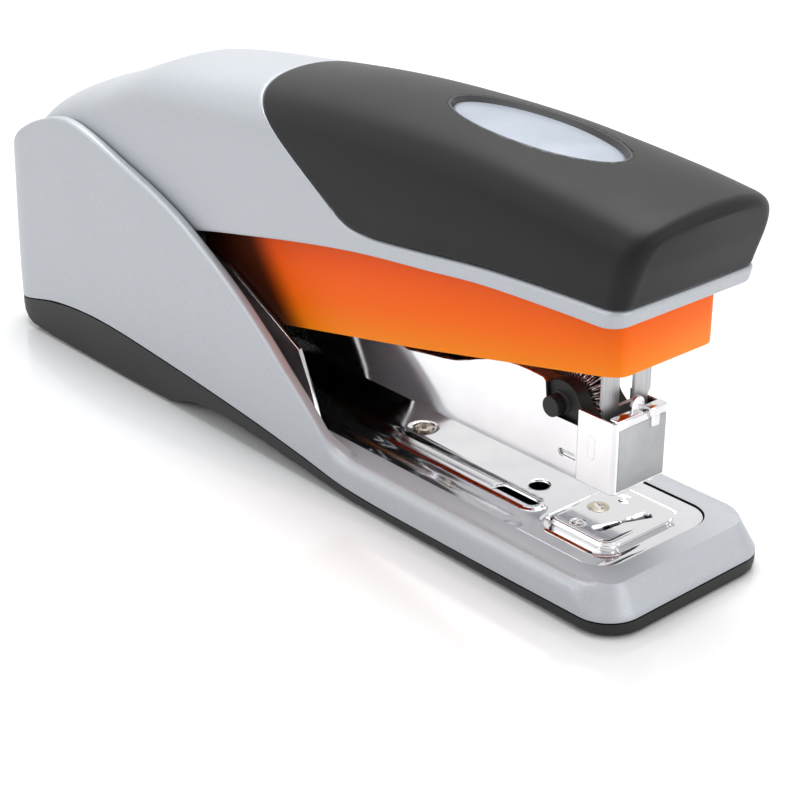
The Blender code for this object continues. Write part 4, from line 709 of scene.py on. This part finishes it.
def cross_disc(bm, middle, radius, depth, segments, drawn):
    """A disc that faces sideways at middle, its points drawn out along X and Z by drawn(x, z)."""
    disc = bmesh.ops.create_cone(bm, cap_ends=True, segments=segments, radius1=radius, radius2=radius,
                                 depth=depth)
    for vert in disc["verts"]:
        x, z, y = vert.co
        more_x, more_z = drawn(x, z)
        vert.co = Vector((middle[0] * MM + x + more_x, middle[1] * MM + y, middle[2] * MM + z + more_z))


def pip_stretch(_, z):
    """Draw a round pip out to a tall one with round ends."""
    return 0.0, math.copysign(1.6 * MM, z)


NOSE_SATIN = steel("nose_satin", (0.38, 0.39, 0.40), (0.42, 0.43, 0.44), (0.42, 0.47))
panel_mesh = bmesh.new()
eased_block(panel_mesh, (94.1, -6.6, 20.9), (94.6, 6.9, 34.3), 0.18)
fitted(closed_piece("nose_panel", panel_mesh), NOSE_SATIN, "magazine", "chrome_plate")
pip_mesh = bmesh.new()
for pip_y in (-7.75, 7.75):
    cross_disc(pip_mesh, (88.4, pip_y, 28.9), 0.9 * MM, 0.34 * MM, 48, pip_stretch)
bmesh.ops.recalc_face_normals(pip_mesh, faces=pip_mesh.faces)
fitted(rounded(closed_piece("nose_pips", pip_mesh), 0.12 * MM), CHROME, "magazine", "chrome_plate")
strap_mesh = bmesh.new()
eased_block(strap_mesh, (92.7, 1.6, 34.6), (95.1, 6.6, 36.9), 0.55, 4)
eased_block(strap_mesh, (94.2, 2.2, 32.4), (95.0, 4.6, 35.4), 0.38, 4)
eased_block(strap_mesh, (91.9, -6.9, 35.2), (94.2, 0.6, 36.3), 0.3, 3)
fitted(closed_piece("nose_strap", strap_mesh), CHROME, "magazine", "chrome_plate")

# The spring guide: a black moulded drum across the channel with two cheeks that keep the coil in
# line, and the two steel cross pins.
guide = rounded(frame_copy("spring_guide", "guide_drum"), 0.25 * MM, 3)
fitted(guide, BLACK_MOULDING, "magazine", "black_plastic", "spring_guide")
CHEEK_RADIUS = 5.4 * MM


def cheek_sag(x, z):
    """Draw a cheek's lower front corner forward."""
    return 3.2 * MM * ease(x, 0, CHEEK_RADIUS) * (1 - ease(z, -2 * MM, 2 * MM)), 0.0


cheek_mesh = bmesh.new()
for cheek_y in (-4.2, 4.2):
    cross_disc(cheek_mesh, (78.2, cheek_y, 34.0), CHEEK_RADIUS, 3.4 * MM, 64, cheek_sag)
bmesh.ops.recalc_face_normals(cheek_mesh, faces=cheek_mesh.faces)
cheeks = rounded(closed_piece("guide_cheeks", cheek_mesh), 0.3 * MM, 3)
fitted(cheeks, BLACK_MOULDING, "magazine", "black_plastic")
for pin in ("spring_anchor_pin", "return_spring_rest"):
    fitted(rounded(frame_copy(pin, f"{pin}_rod"), 0.15 * MM), BRIGHT_STEEL, "magazine", "spring_steel", pin)

# The follower and its spring: a folded steel saddle on the track, pushed by a long fine coil
# of bright spring wire that bends round the guide.
pusher = rounded(frame_copy("follower", "follower_saddle"), 0.12 * MM)
fitted(pusher, BRIGHT_STEEL, "follower", "spring_steel", "follower")


GUIDE_MIDDLE = Vector((77.8, 0, 34.3)) * MM
COIL_END = Vector((20.3, 0, 34.6)) * MM
COIL_START = 69.0 * MM
COIL_BEND = 5.0 * MM
COIL_RADIUS = 1.7 * MM
COIL_PITCH = 0.9 * MM
COIL_WIRE = 0.42 * MM
POINTS_PER_TURN = 14


def wound_wire(name, points, diameter):
    """A round wire through points, as a curve with a round section."""
    curve = bpy.data.curves.new(name, "CURVE")
    curve.dimensions = "3D"
    curve.bevel_depth = diameter / 2
    curve.bevel_resolution = 2
    curve.use_fill_caps = True
    spline = curve.splines.new("POLY")
    spline.points.add(len(points) - 1)
    for knot, point in zip(spline.points, points):
        knot.co = (*point, 1.0)
    wire = bpy.data.objects.new(name, curve)
    bpy.context.scene.collection.objects.link(wire)
    return wire


def follower_coil():
    """Points of the coil: forward from the follower, up round the guide and back to its anchor."""
    start = Vector((COIL_START, 0, GUIDE_MIDDLE.z - COIL_BEND))
    fall = math.atan2(GUIDE_MIDDLE.z + COIL_BEND - COIL_END.z, GUIDE_MIDDLE.x - COIL_END.x)
    upper_out = Vector((-math.sin(fall), 0, math.cos(fall)))
    leave = GUIDE_MIDDLE + upper_out * COIL_BEND
    lower = GUIDE_MIDDLE.x - start.x
    round_bend = COIL_BEND * (math.pi + fall)
    upper = (COIL_END - leave).length
    total = lower + round_bend + upper
    count = int(total / COIL_PITCH) * POINTS_PER_TURN
    points = []
    for i in range(count + 1):
        along = total * i / count
        if along < lower:
            out = Vector((0, 0, -1))
            middle = start + Vector((along, 0, 0))
        elif along < lower + round_bend:
            angle = (along - lower) / COIL_BEND - math.pi / 2
            out = Vector((math.cos(angle), 0, math.sin(angle)))
            middle = GUIDE_MIDDLE + out * COIL_BEND
        else:
            out = upper_out
            middle = leave.lerp(COIL_END, (along - lower - round_bend) / upper)
        angle = math.tau * i / POINTS_PER_TURN
        around = out * math.cos(angle) + Vector((0, 1, 0)) * math.sin(angle)
        points.append(middle + around * COIL_RADIUS)
    return wound_wire("follower_coil", points, COIL_WIRE)


SPRING_WIRE = steel("spring_wire", (0.50, 0.50, 0.51), (0.70, 0.70, 0.71), (0.16, 0.28))
fitted(follower_coil(), SPRING_WIRE, "magazine", "spring_steel", "follower_spring")

# The return spring: heavy spring wire wound round the pivot pin, with two legs that point forward.
# It is bright, and one leg rests on the magazine's cross pin.
lifter = frame_copy("handle_return_spring", "return_spring_coil")
fitted(lifter, SPRING_WIRE, "magazine", "spring_steel", "handle_return_spring")

# The arm and driver: a folded steel arm from the pivot, with the forked blade riveted to its flange.
# The blade is brushed along its length.
for arm_part in ("drive_arm", "driver_rivet_left", "driver_rivet_right"):
    piece = rounded(frame_copy(arm_part, f"{arm_part}_steel"), 0.12 * MM)
    fitted(piece, BRIGHT_STEEL, "handle", "spring_steel", arm_part)


def brushed_steel():
    """Steel with fine upright lines from brushing."""
    finish, tree, shader = finish_tree("brushed_steel")
    place = tree.nodes.new("ShaderNodeTexCoord")
    draw = tree.nodes.new("ShaderNodeMapping")
    draw.inputs["Scale"].default_value = (4000.0, 4000.0, 60.0)
    lines = node_in(tree, "ShaderNodeTexNoise", Scale=1.0, Detail=3.0, Roughness=0.6)
    tree.links.new(place.outputs["Object"], draw.inputs["Vector"])
    tree.links.new(draw.outputs["Vector"], lines.inputs["Vector"])
    tone(tree, lines.outputs["Fac"], (0.40, 0.40, 0.41), (0.56, 0.56, 0.57), shader.inputs["Base Color"])
    gloss(tree, lines.outputs["Fac"], 0.34, 0.46, shader.inputs["Roughness"])
    shader.inputs["Metallic"].default_value = 1.0
    return finish


blade = rounded(frame_copy("driver", "driver_blade"), 0.12 * MM)
fitted(blade, brushed_steel(), "handle", "spring_steel", "driver")

# The skirt: a hood in clear orange plastic between the handle and the magazine.
# It is moulded with frosted walls and hangs from the arm's screws; its colour holds a painted glow along its
# lower edge and painted shade at its rear.
PAINTED_GLOW_SLOPE = -0.21
PAINTED_SHADE_SLANT = 0.72


def orange_clear():
    """Orange with painted light and shade: yellower towards its lower edge as a painted glow of light
    through the plastic, near-black at its rear as painted shade from the wing.
    """
    finish, tree, shader = finish_tree("orange_clear")
    grain = grain_in(tree, 2500.0, 40.0)
    place = position_in(tree)
    # Painted glow: the orange turns yellower towards the lower edge, standing for light shining through the
    # thin plastic.
    level = math_in(tree, "MULTIPLY_ADD", place["X"], PAINTED_GLOW_SLOPE, place["Z"])
    rise = spread(tree, level, 28.5 * MM, 46.0 * MM)
    # Painted shade: the rear zone is coloured near-black brown, standing for the shadow behind the wing.
    slant = math_in(tree, "MULTIPLY_ADD", place["Z"], PAINTED_SHADE_SLANT, place["X"])
    ahead = spread(tree, slant, 19.0 * MM, 32.0 * MM)
    ahead.interpolation_type = "SMOOTHSTEP"
    painted_shade = tree.nodes.new("ShaderNodeMix")
    painted_shade.data_type = "RGBA"
    painted_shade.inputs["A"].default_value = (0.07, 0.012, 0.003, 1.0)
    ramp = tone(tree, rise.outputs["Result"], (1.0, 0.25, 0.004), (0.95, 0.10, 0.001), painted_shade.inputs["B"],
                0.0, 1.0)
    middle = ramp.color_ramp.elements.new(0.4)
    middle.color = (1.0, 0.15, 0.001, 1.0)
    tree.links.new(ahead.outputs["Result"], painted_shade.inputs["Factor"])
    tree.links.new(painted_shade.outputs["Result"], shader.inputs["Base Color"])
    gloss(tree, grain.outputs["Mottle"], 0.40, 0.48, shader.inputs["Roughness"])
    bump(tree, grain.outputs["Height"], 0.10, 0.02 * MM, shader)
    shader.inputs["Specular IOR Level"].default_value = 0.15
    shader.inputs["Transmission Weight"].default_value = 0.06
    shader.inputs["Subsurface Weight"].default_value = 0.15
    shader.inputs["Subsurface Radius"].default_value = (1.0, 0.4, 0.1)
    shader.inputs["Subsurface Scale"].default_value = 2 * MM
    return finish


skirt = rounded(frame_copy("handle_skirt", "skirt_hood"), 0.35 * MM, 3)
fitted(skirt, orange_clear(), "handle", "orange_clear", "handle_skirt")

# The handle cover: a hollow loaf in silver paint, with a narrow strip that runs on below the grip.
# Two screws from below hold it to the arm.
COVER_FRONT = 103.6 * MM
COVER_REAR = -106.5 * MM
COVER_HALF = 20.2 * MM
crown_height = smooth_line(from_rear(3.5, 40.0), from_rear(5, 46.0), from_rear(8, 51.5), from_rear(13, 57.3),
                           from_rear(20, 63.0), from_rear(32, 68.3), from_rear(42, 71.7),
                           from_rear(54, 76.4), from_rear(66, 80.3), from_front(124, 84.0),
                           from_front(96, 86.75), from_front(72, 87.75), from_front(47, 87.35),
                           from_front(22, 85.0), from_front(4, 82.1))
cover_foot = smooth_line(from_rear(3.5, 31.0), from_rear(20, 30.5), from_rear(40, 33.0), from_rear(60, 38.0),
                         from_front(138, 45.0), from_front(113, 50.4), from_front(92, 54.4),
                         from_front(75, 57.0), from_front(56, 59.0), from_front(41, 60.6),
                         from_front(20, 61.5), from_front(0, 61.8))
grip_foot = smooth_line(from_front(86, 64.2), from_front(83.6, 62.6), from_front(80.5, 61.4),
                        from_front(76.5, 60.9), from_front(72, 60.9), from_front(61, 61.9),
                        from_front(41, 63.9), from_front(21, 64.9), from_front(0, 65.4))
GRIP_REAR = 24.0 * MM
GRIP_SLANT = -1.553
FULL_SHOULDER = 26 * MM


def shoulder_rise(x):
    """How far the rounded part of the handle's section reaches down from the crown."""
    return min(FULL_SHOULDER, (crown_height(x) - cover_foot(x)) * 0.85)


def strip_top(x):
    """Height of the strip's upper edge, carried on to the rear of the handle."""
    if x >= GRIP_REAR:
        return grip_foot(x)
    side = crown_height(x) - 0.7 * shoulder_rise(x) - cover_foot(x)
    return cover_foot(x) + min(grip_foot(GRIP_REAR) - cover_foot(GRIP_REAR), side)


SHOULDER_POWER = 7
FRONT_RADIUS = 4 * MM
REAR_RADIUS = 12 * MM
LEAN = 0.26
LEAN_REACH = 30 * MM
SIDE_CLIMB = 0.2
SHOULDER_CLIMB = 0.5
SIDE_RISE = 0.45
SHOULDER_TOP = 0.85


def front_lean(x, z):
    """How far the handle's forward lean moves a point."""
    return LEAN * max(0.0, 1 - (COVER_FRONT - x) / LEAN_REACH) * (z - cover_foot(x))


def plan_half(x, inset=0.0):
    """Half the handle's width at x, with its corners rounded in plan."""
    half = COVER_HALF - inset
    past_front = min(max(x - COVER_FRONT + inset + FRONT_RADIUS, 0.0), FRONT_RADIUS)
    past_rear = min(max(COVER_REAR + inset + REAR_RADIUS - x, 0.0), REAR_RADIUS)
    half -= FRONT_RADIUS - math.sqrt(FRONT_RADIUS ** 2 - past_front ** 2)
    return half - REAR_RADIUS + math.sqrt(REAR_RADIUS ** 2 - past_rear ** 2)


def side_share(x, z, inset=0.0):
    """The share of the handle's half width that is left at height z."""
    height = (z - crown_height(x) + inset) / shoulder_rise(x) + 1
    return math.sqrt(1 - min(max(height, 0.0), 1.0) ** SHOULDER_POWER)


def handle_point(x, low, share, inset=0.0):
    """A point of the handle's section at x: share 0 at the right edge low, over the crown, to 1."""
    rise = shoulder_rise(x)
    spring = crown_height(x) - inset - rise
    climb = 1 - abs(2 * share - 1)
    if climb < SIDE_CLIMB:
        z = blend(low, spring + SIDE_RISE * rise, climb / SIDE_CLIMB)
    elif climb < SHOULDER_CLIMB:
        up = (climb - SIDE_CLIMB) / (SHOULDER_CLIMB - SIDE_CLIMB)
        z = spring + rise * blend(SIDE_RISE, SHOULDER_TOP, up)
    else:
        turn = blend(math.asin(SHOULDER_TOP ** (SHOULDER_POWER / 2)), math.pi / 2, climb * 2 - 1)
        z = spring + rise * math.sin(turn) ** (2 / SHOULDER_POWER)
    y = plan_half(x, inset) * side_share(x, z, inset)
    return x + front_lean(x, z), math.copysign(y, share - 0.5), z


def grip_line(z):
    """Where the grip's slanting rear edge is at height z."""
    return GRIP_REAR + GRIP_SLANT * max(z - grip_foot(GRIP_REAR), 0.0)


def rolled(share, lip):
    """Split a share of a sheet into its edge's roll and the rest: -1 to 0 on the roll, then 0 to 1."""
    return share / lip - 1 if share < lip else (share - lip) / (1 - lip)


def roll(turn, radius, depth):
    """How far a rolled edge has come in, and how far it is short of the edge's line."""
    if turn > 0.5:
        angle = math.pi / 2 * (1 - turn) * 2
        return radius * (1 - math.cos(angle)), radius * (1 - math.sin(angle))
    return blend(depth, radius, turn * 2), 0.0


COVER_WALL = 2.2 * MM
EDGE_RADIUS = 0.45 * MM
LEDGE_RADIUS = 0.9 * MM
LEDGE_START = 12 * MM
REAR_LIP = 0.05
STRIP_LIP = 0.3
STRIP_COLUMNS = 14
HOOD_COLUMNS = 96
COVER_COLUMNS = HOOD_COLUMNS + 2 * STRIP_COLUMNS


def hood_x(run, share):
    """Where a line of the rear hood is at run from the tail to the grip's edge."""
    x = blend(COVER_REAR, GRIP_REAR, run)
    for _ in range(10):
        x = blend(COVER_REAR, grip_line(handle_point(x, strip_top(x), share)[2]), run)
    return x


def strip_rise(x, rise):
    """Height and inset on the strip's section, rolled in at its lower edge."""
    rise = rolled(rise, STRIP_LIP)
    if rise < 0:
        inset, short = roll(rise + 1, EDGE_RADIUS, COVER_WALL)
        return cover_foot(x) + short, inset
    return blend(cover_foot(x) + EDGE_RADIUS, strip_top(x), rise), 0.0


def hood(run, column):
    """The rear hood from its rolled lower edges over the top, rolled in under the grip's edge."""
    run = rolled(1 - run, REAR_LIP)
    share = min(max((column * COVER_COLUMNS - STRIP_COLUMNS) / HOOD_COLUMNS, 0.0), 1.0)
    rise = min(column, 1 - column) * COVER_COLUMNS / STRIP_COLUMNS
    from_tail = 1 - max(run, 0.0)
    x = hood_x(from_tail ** 1.35, share) - EDGE_RADIUS * from_tail ** 8
    if rise < 1:
        x = hood_x(1.0, share) if run < 0 else x
        z, inset = strip_rise(x, rise)
        return x, math.copysign(plan_half(x, inset) * side_share(x, z), column - 0.5), z
    if run < 0:
        inset, short = roll(run + 1, EDGE_RADIUS, COVER_WALL)
        x = hood_x(1.0, share) - short
        return handle_point(x, strip_top(x), share, inset)
    return handle_point(x, strip_top(x), share)


def tail(share, across):
    """The flat rear end of the handle, from side to side."""
    _, y, z = handle_point(COVER_REAR, strip_top(COVER_REAR), share / 2)
    return COVER_REAR, blend(y, -y, across), z


def tail_strip(rise, across):
    """The band below the flat rear end, with its lower edge rolled in."""
    z, inset = strip_rise(COVER_REAR, rise)
    half = plan_half(COVER_REAR, inset) * side_share(COVER_REAR, z)
    return COVER_REAR + inset, blend(-half, half, across), z


def strip_path(turn):
    """The plan of the strip below the grip, right side, front and left side, with the way out."""
    straight = COVER_FRONT - FRONT_RADIUS
    inner = COVER_HALF - FRONT_RADIUS
    if turn < 0.4:
        return blend(GRIP_REAR, straight, turn / 0.4), -COVER_HALF, 0.0, -1.0
    if turn > 0.6:
        return blend(straight, GRIP_REAR, (turn - 0.6) / 0.4), COVER_HALF, 0.0, 1.0
    if 0.45 <= turn <= 0.55:
        return COVER_FRONT, blend(-inner, inner, (turn - 0.45) / 0.1), 1.0, 0.0
    angle = math.pi / 2 * (min(turn, 1 - turn) - 0.4) / 0.05
    side = math.copysign(1.0, turn - 0.5)
    y = side * (inner + FRONT_RADIUS * math.cos(angle))
    return straight + FRONT_RADIUS * math.sin(angle), y, math.sin(angle), side * math.cos(angle)


def front_strip(turn, rise):
    """The strip below the grip, its lower edge rolled in and its upper edge a ledge for the grip."""
    x, y, out_x, out_y = strip_path(turn)
    ledge = blend(EDGE_RADIUS, LEDGE_RADIUS, ease(x, GRIP_REAR, GRIP_REAR + LEDGE_START))
    if rise > 0.5:
        inset, short = roll(2 - 2 * rise, ledge, COVER_WALL)
        z = strip_top(x) - short
    else:
        z, inset = strip_rise(x, rise * 2)
        z = min(z, strip_top(x) - ledge)
    return x + front_lean(x, z) - out_x * inset, y * side_share(x, z) - out_y * inset, z


cover_mesh = bmesh.new()
shaped_grid(cover_mesh, 100, COVER_COLUMNS, hood)
shaped_grid(cover_mesh, HOOD_COLUMNS // 2, 12, tail)
shaped_grid(cover_mesh, STRIP_COLUMNS, 12, tail_strip)
shaped_grid(cover_mesh, 160, 2 * STRIP_COLUMNS, front_strip)
bmesh.ops.remove_doubles(cover_mesh, verts=cover_mesh.verts, dist=0.003 * MM)
cover = walled(closed_piece("cover_moulding", cover_mesh), 0.5 * MM)
fitted(cover, SILVER_PAINT, "handle", "silver_paint", "handle_cover")
for screw in ("cover_screw_front", "cover_screw_rear"):
    head = rounded(frame_copy(screw, f"{screw}_head"), 0.12 * MM)
    fitted(head, BRIGHT_STEEL, "handle", "spring_steel", screw)

# The grip: charcoal soft-touch rubber moulded over the front of the cover, with a crease along its
# front edge and an oval seat for the badge on top.
GRIP_GAP = 0.3 * MM
BADGE_X = 63.3 * MM
BADGE_REACH = 23.4 * MM
BADGE_HALF = 9.5 * MM


def badge_share(x, y):
    """0 in the middle of the badge's oval seat, 1 on its edge."""
    return math.hypot((x - BADGE_X) / BADGE_REACH, y / BADGE_HALF)


GRIP_WALL = 2.0 * MM
CREASE_RADIUS = 1.8 * MM
LOWER_LIP = 0.04
TOP_SHARE = 0.8
TUCK = 0.5 * MM
SEAT_DEPTH = 2.0 * MM


def grip_top(run, share):
    """The grip from its rolled rear edge over the top to its rounded front crease."""
    run = rolled(run, REAR_LIP)
    edge = GRIP_GAP
    inset = 0.0
    low_inset = 0.0
    angle = 0.0
    low = GRIP_GAP + EDGE_RADIUS
    column = min(share, 1 - share)
    if column < LOWER_LIP:
        low_inset, short = roll(column / LOWER_LIP, EDGE_RADIUS, GRIP_WALL)
        low = GRIP_GAP + short
        share = 0.0 if share < 0.5 else 1.0
    else:
        share = (share - LOWER_LIP) / (1 - 2 * LOWER_LIP)
    if run < 0:
        inset, back_off = roll(run + 1, EDGE_RADIUS, GRIP_WALL)
        edge += back_off
    else:
        edge += EDGE_RADIUS * max(1 - run / TOP_SHARE, 0.0) ** 8
        angle = math.pi / 2 * max(run - TOP_SHARE, 0.0) / (1 - TOP_SHARE)
    along = min(max(run, 0.0) / TOP_SHARE, 1.0)
    x = GRIP_REAR
    for _ in range(12):
        z = handle_point(x, strip_top(x) + low, share)[2]
        x = blend(grip_line(z) + edge, COVER_FRONT - FRONT_RADIUS, along)
    x += FRONT_RADIUS * math.sin(angle)
    px, py, pz = handle_point(x, strip_top(x) + low, share, inset)
    short = max(CREASE_RADIUS - FRONT_RADIUS * (1 - math.sin(angle)), 0.0)
    crease = CREASE_RADIUS - math.sqrt(CREASE_RADIUS ** 2 - short ** 2)
    pz -= crease * min(max((pz - strip_top(x)) / (crown_height(x) - strip_top(x)), 0.0), 1.0) ** 3
    side = math.copysign(1.0, share - 0.5)
    tuck = TUCK * ease(x, GRIP_REAR, GRIP_REAR + LEDGE_START)
    low_inset += tuck * (1 - ease(pz, strip_top(x), strip_top(x) + 9 * MM))
    return Vector((px - math.sin(angle) * low_inset, py - side * math.cos(angle) * low_inset, pz))


def seated(run, share):
    """The grip's top with the badge's seat sunk in it."""
    point = grip_top(run, share)
    if point.z > 75 * MM:
        point.z -= SEAT_DEPTH * (1 - ease(badge_share(point.x, point.y), 0.945, 0.985))
    return point


def grip_face(across, share):
    """The grip's front, a little crowned from side to side."""
    near = grip_top(1.0, share / 2)
    bulge = 0.5 * MM * (1 - (2 * across - 1) ** 2) * min(1.0, abs(near.y) / (8 * MM))
    return near.x + bulge, blend(near.y, -near.y, across), near.z


SOFT_TOUCH = grained("soft_touch", (3600.0, 30.0), (0.005, 0.005, 0.006), (0.009, 0.009, 0.010),
                     (0.46, 0.56), (0.45, 0.03 * MM), Specular_IOR_Level=0.22, Sheen_Weight=0.16,
                     Sheen_Roughness=0.35)
grip_mesh = bmesh.new()
shaped_grid(grip_mesh, 170, 150, seated)
shaped_grid(grip_mesh, 30, 75, grip_face)
bmesh.ops.remove_doubles(grip_mesh, verts=grip_mesh.verts, dist=0.003 * MM)
grip = walled(closed_piece("grip_overmould", grip_mesh), 0.5 * MM)
fitted(grip, SOFT_TOUCH, "handle", "soft_grip", "handle_grip")

# The badge: a bare oval plate in pale satin metal, pressed into the grip's seat.
# A dark bevelled ring frames it.
FACE_INSET = 1.3 * MM
FACE_DROP = 1.2 * MM


def oval_point(turn, reach, half, drop):
    """A point over the handle's top on an oval about the badge's middle."""
    angle = math.tau * turn
    x = BADGE_X + reach * math.cos(angle)
    y = half * math.sin(angle)
    across = 1 - (y / COVER_HALF) ** 2
    upright = x
    for _ in range(5):
        z = crown_height(upright) - shoulder_rise(upright) * (1 - across ** (1 / SHOULDER_POWER))
        upright = x - front_lean(upright, z)
    return x, y, z - drop


def badge_ring(turn, section):
    """The ring: a narrow land level with the grip, a slope down to the plate, and a hidden back."""
    steps = [(0.0, 1.8), (0.0, 0.1), (0.2, 0.02), (0.5, 0.06), (1.4, 1.25), (1.4, 1.8), (0.0, 1.8)]
    place = section * (len(steps) - 1)
    i = min(int(place + 1e-6), len(steps) - 2)
    inset = blend(steps[i][0], steps[i + 1][0], place - i) * MM
    drop = blend(steps[i][1], steps[i + 1][1], place - i) * MM
    return oval_point(turn, BADGE_REACH - inset, BADGE_HALF - inset, drop)


def badge_face(turn, out):
    """The plate's face, slightly domed."""
    return oval_point(turn, (BADGE_REACH - FACE_INSET) * out, (BADGE_HALF - FACE_INSET) * out, FACE_DROP)


BADGE_SATIN = grained("badge_satin", (2400.0, 90.0), (0.34, 0.38, 0.44), (0.39, 0.43, 0.49),
                      (0.25, 0.36), (0.08, 0.02 * MM), Metallic=0.3)
RING_DARK = grained("ring_dark", (3000.0, 120.0), (0.020, 0.020, 0.022), (0.032, 0.032, 0.034),
                    (0.26, 0.36), (0.10, 0.02 * MM))
ring_mesh = bmesh.new()
shaped_grid(ring_mesh, 160, 24, badge_ring)
joined(ring_mesh, 0.002 * MM)
fitted(closed_piece("badge_ring", ring_mesh), RING_DARK, "handle", "badge_silver")
face_mesh = bmesh.new()
shaped_grid(face_mesh, 120, 24, badge_face)
joined(face_mesh, 0.02 * MM)
badge = walled(closed_piece("badge_bare_plate", face_mesh), 0.4 * MM)
fitted(badge, BADGE_SATIN, "handle", "badge_silver", "badge_plate")

# The table: a white glossy top under the whole set.
# It stays still and isn't part of the stapler.
floor_mesh = bmesh.new()
bmesh.ops.create_grid(floor_mesh, x_segments=2, y_segments=2, size=6.0)
table = closed_piece("table_top", floor_mesh)
TABLE_WHITE = grained("table_white", (900.0, 3.0), (0.82, 0.82, 0.825), (0.86, 0.86, 0.86), (0.08, 0.14),
                      None, Specular_IOR_Level=0.6)
table.data.materials.append(TABLE_WHITE)

# The studio: a white backdrop all round that lights softly, and three large square lamps.
# The lamps stand to the right, above and ahead of the stapler.


def studio_world():
    """White where it is seen, soft grey where it lights."""
    world = bpy.data.worlds.new("studio_world")
    bpy.context.scene.world = world
    world.use_nodes = True
    tree = world.node_tree
    tree.nodes.clear()
    path = tree.nodes.new("ShaderNodeLightPath").outputs
    seen = math_in(tree, "MAXIMUM", path["Is Camera Ray"], path["Is Transmission Ray"])
    backdrop = math_in(tree, "MAXIMUM", seen, path["Is Glossy Ray"])
    white = node_in(tree, "ShaderNodeBackground", Strength=1.0, Color=(1.0, 1.0, 1.0, 1.0))
    soft = node_in(tree, "ShaderNodeBackground", Strength=0.45, Color=(0.96, 0.98, 1.0, 1.0))
    choice = tree.nodes.new("ShaderNodeMixShader")
    put = tree.nodes.new("ShaderNodeOutputWorld")
    tree.links.new(backdrop, choice.inputs["Fac"])
    tree.links.new(soft.outputs[0], choice.inputs[1])
    tree.links.new(white.outputs[0], choice.inputs[2])
    tree.links.new(choice.outputs[0], put.inputs["Surface"])


studio_world()


def soft_lamp(name, place, target, size, power):
    """A square lamp at place, turned to target."""
    lamp = bpy.data.lights.new(name, "AREA")
    lamp.shape = "SQUARE"
    lamp.size = size
    lamp.energy = power
    item = bpy.data.objects.new(name, lamp)
    item.location = place
    item.rotation_euler = (Vector(target) - Vector(place)).to_track_quat("-Z", "Y").to_euler()
    bpy.context.scene.collection.objects.link(item)


soft_lamp("side_lamp", (-0.35, -0.80, 0.55), (0, 0, 0.03), 0.9, 3.5)
soft_lamp("top_lamp", (-0.25, 0.25, 1.2), (-0.02, 0, 0.03), 1.0, 19.0)
soft_lamp("front_lamp", (1.0, 0.25, 0.45), (0.02, 0, 0.04), 0.8, 4.0)

# The camera: it looks down on the stapler from ahead of its right side.
# Its place and lens are those that fit the photograph.
AZIMUTH = math.radians(48.56)
ELEVATION = math.radians(25.41)
camera_data = bpy.data.cameras.new("camera")
camera_data.lens = 83.16
camera_data.sensor_width = 36.0
camera = bpy.data.objects.new("camera", camera_data)
camera.location = (0.305535, -0.249443, 0.1926)
level = math.cos(ELEVATION)
back = Vector((math.sin(AZIMUTH) * level, -math.cos(AZIMUTH) * level, math.sin(ELEVATION)))
camera.rotation_mode = "QUATERNION"
camera.rotation_quaternion = (-back).to_track_quat("-Z", "Y")
bpy.context.scene.collection.objects.link(camera)
bpy.context.scene.camera = camera
bpy.context.scene.view_settings.view_transform = "Standard"
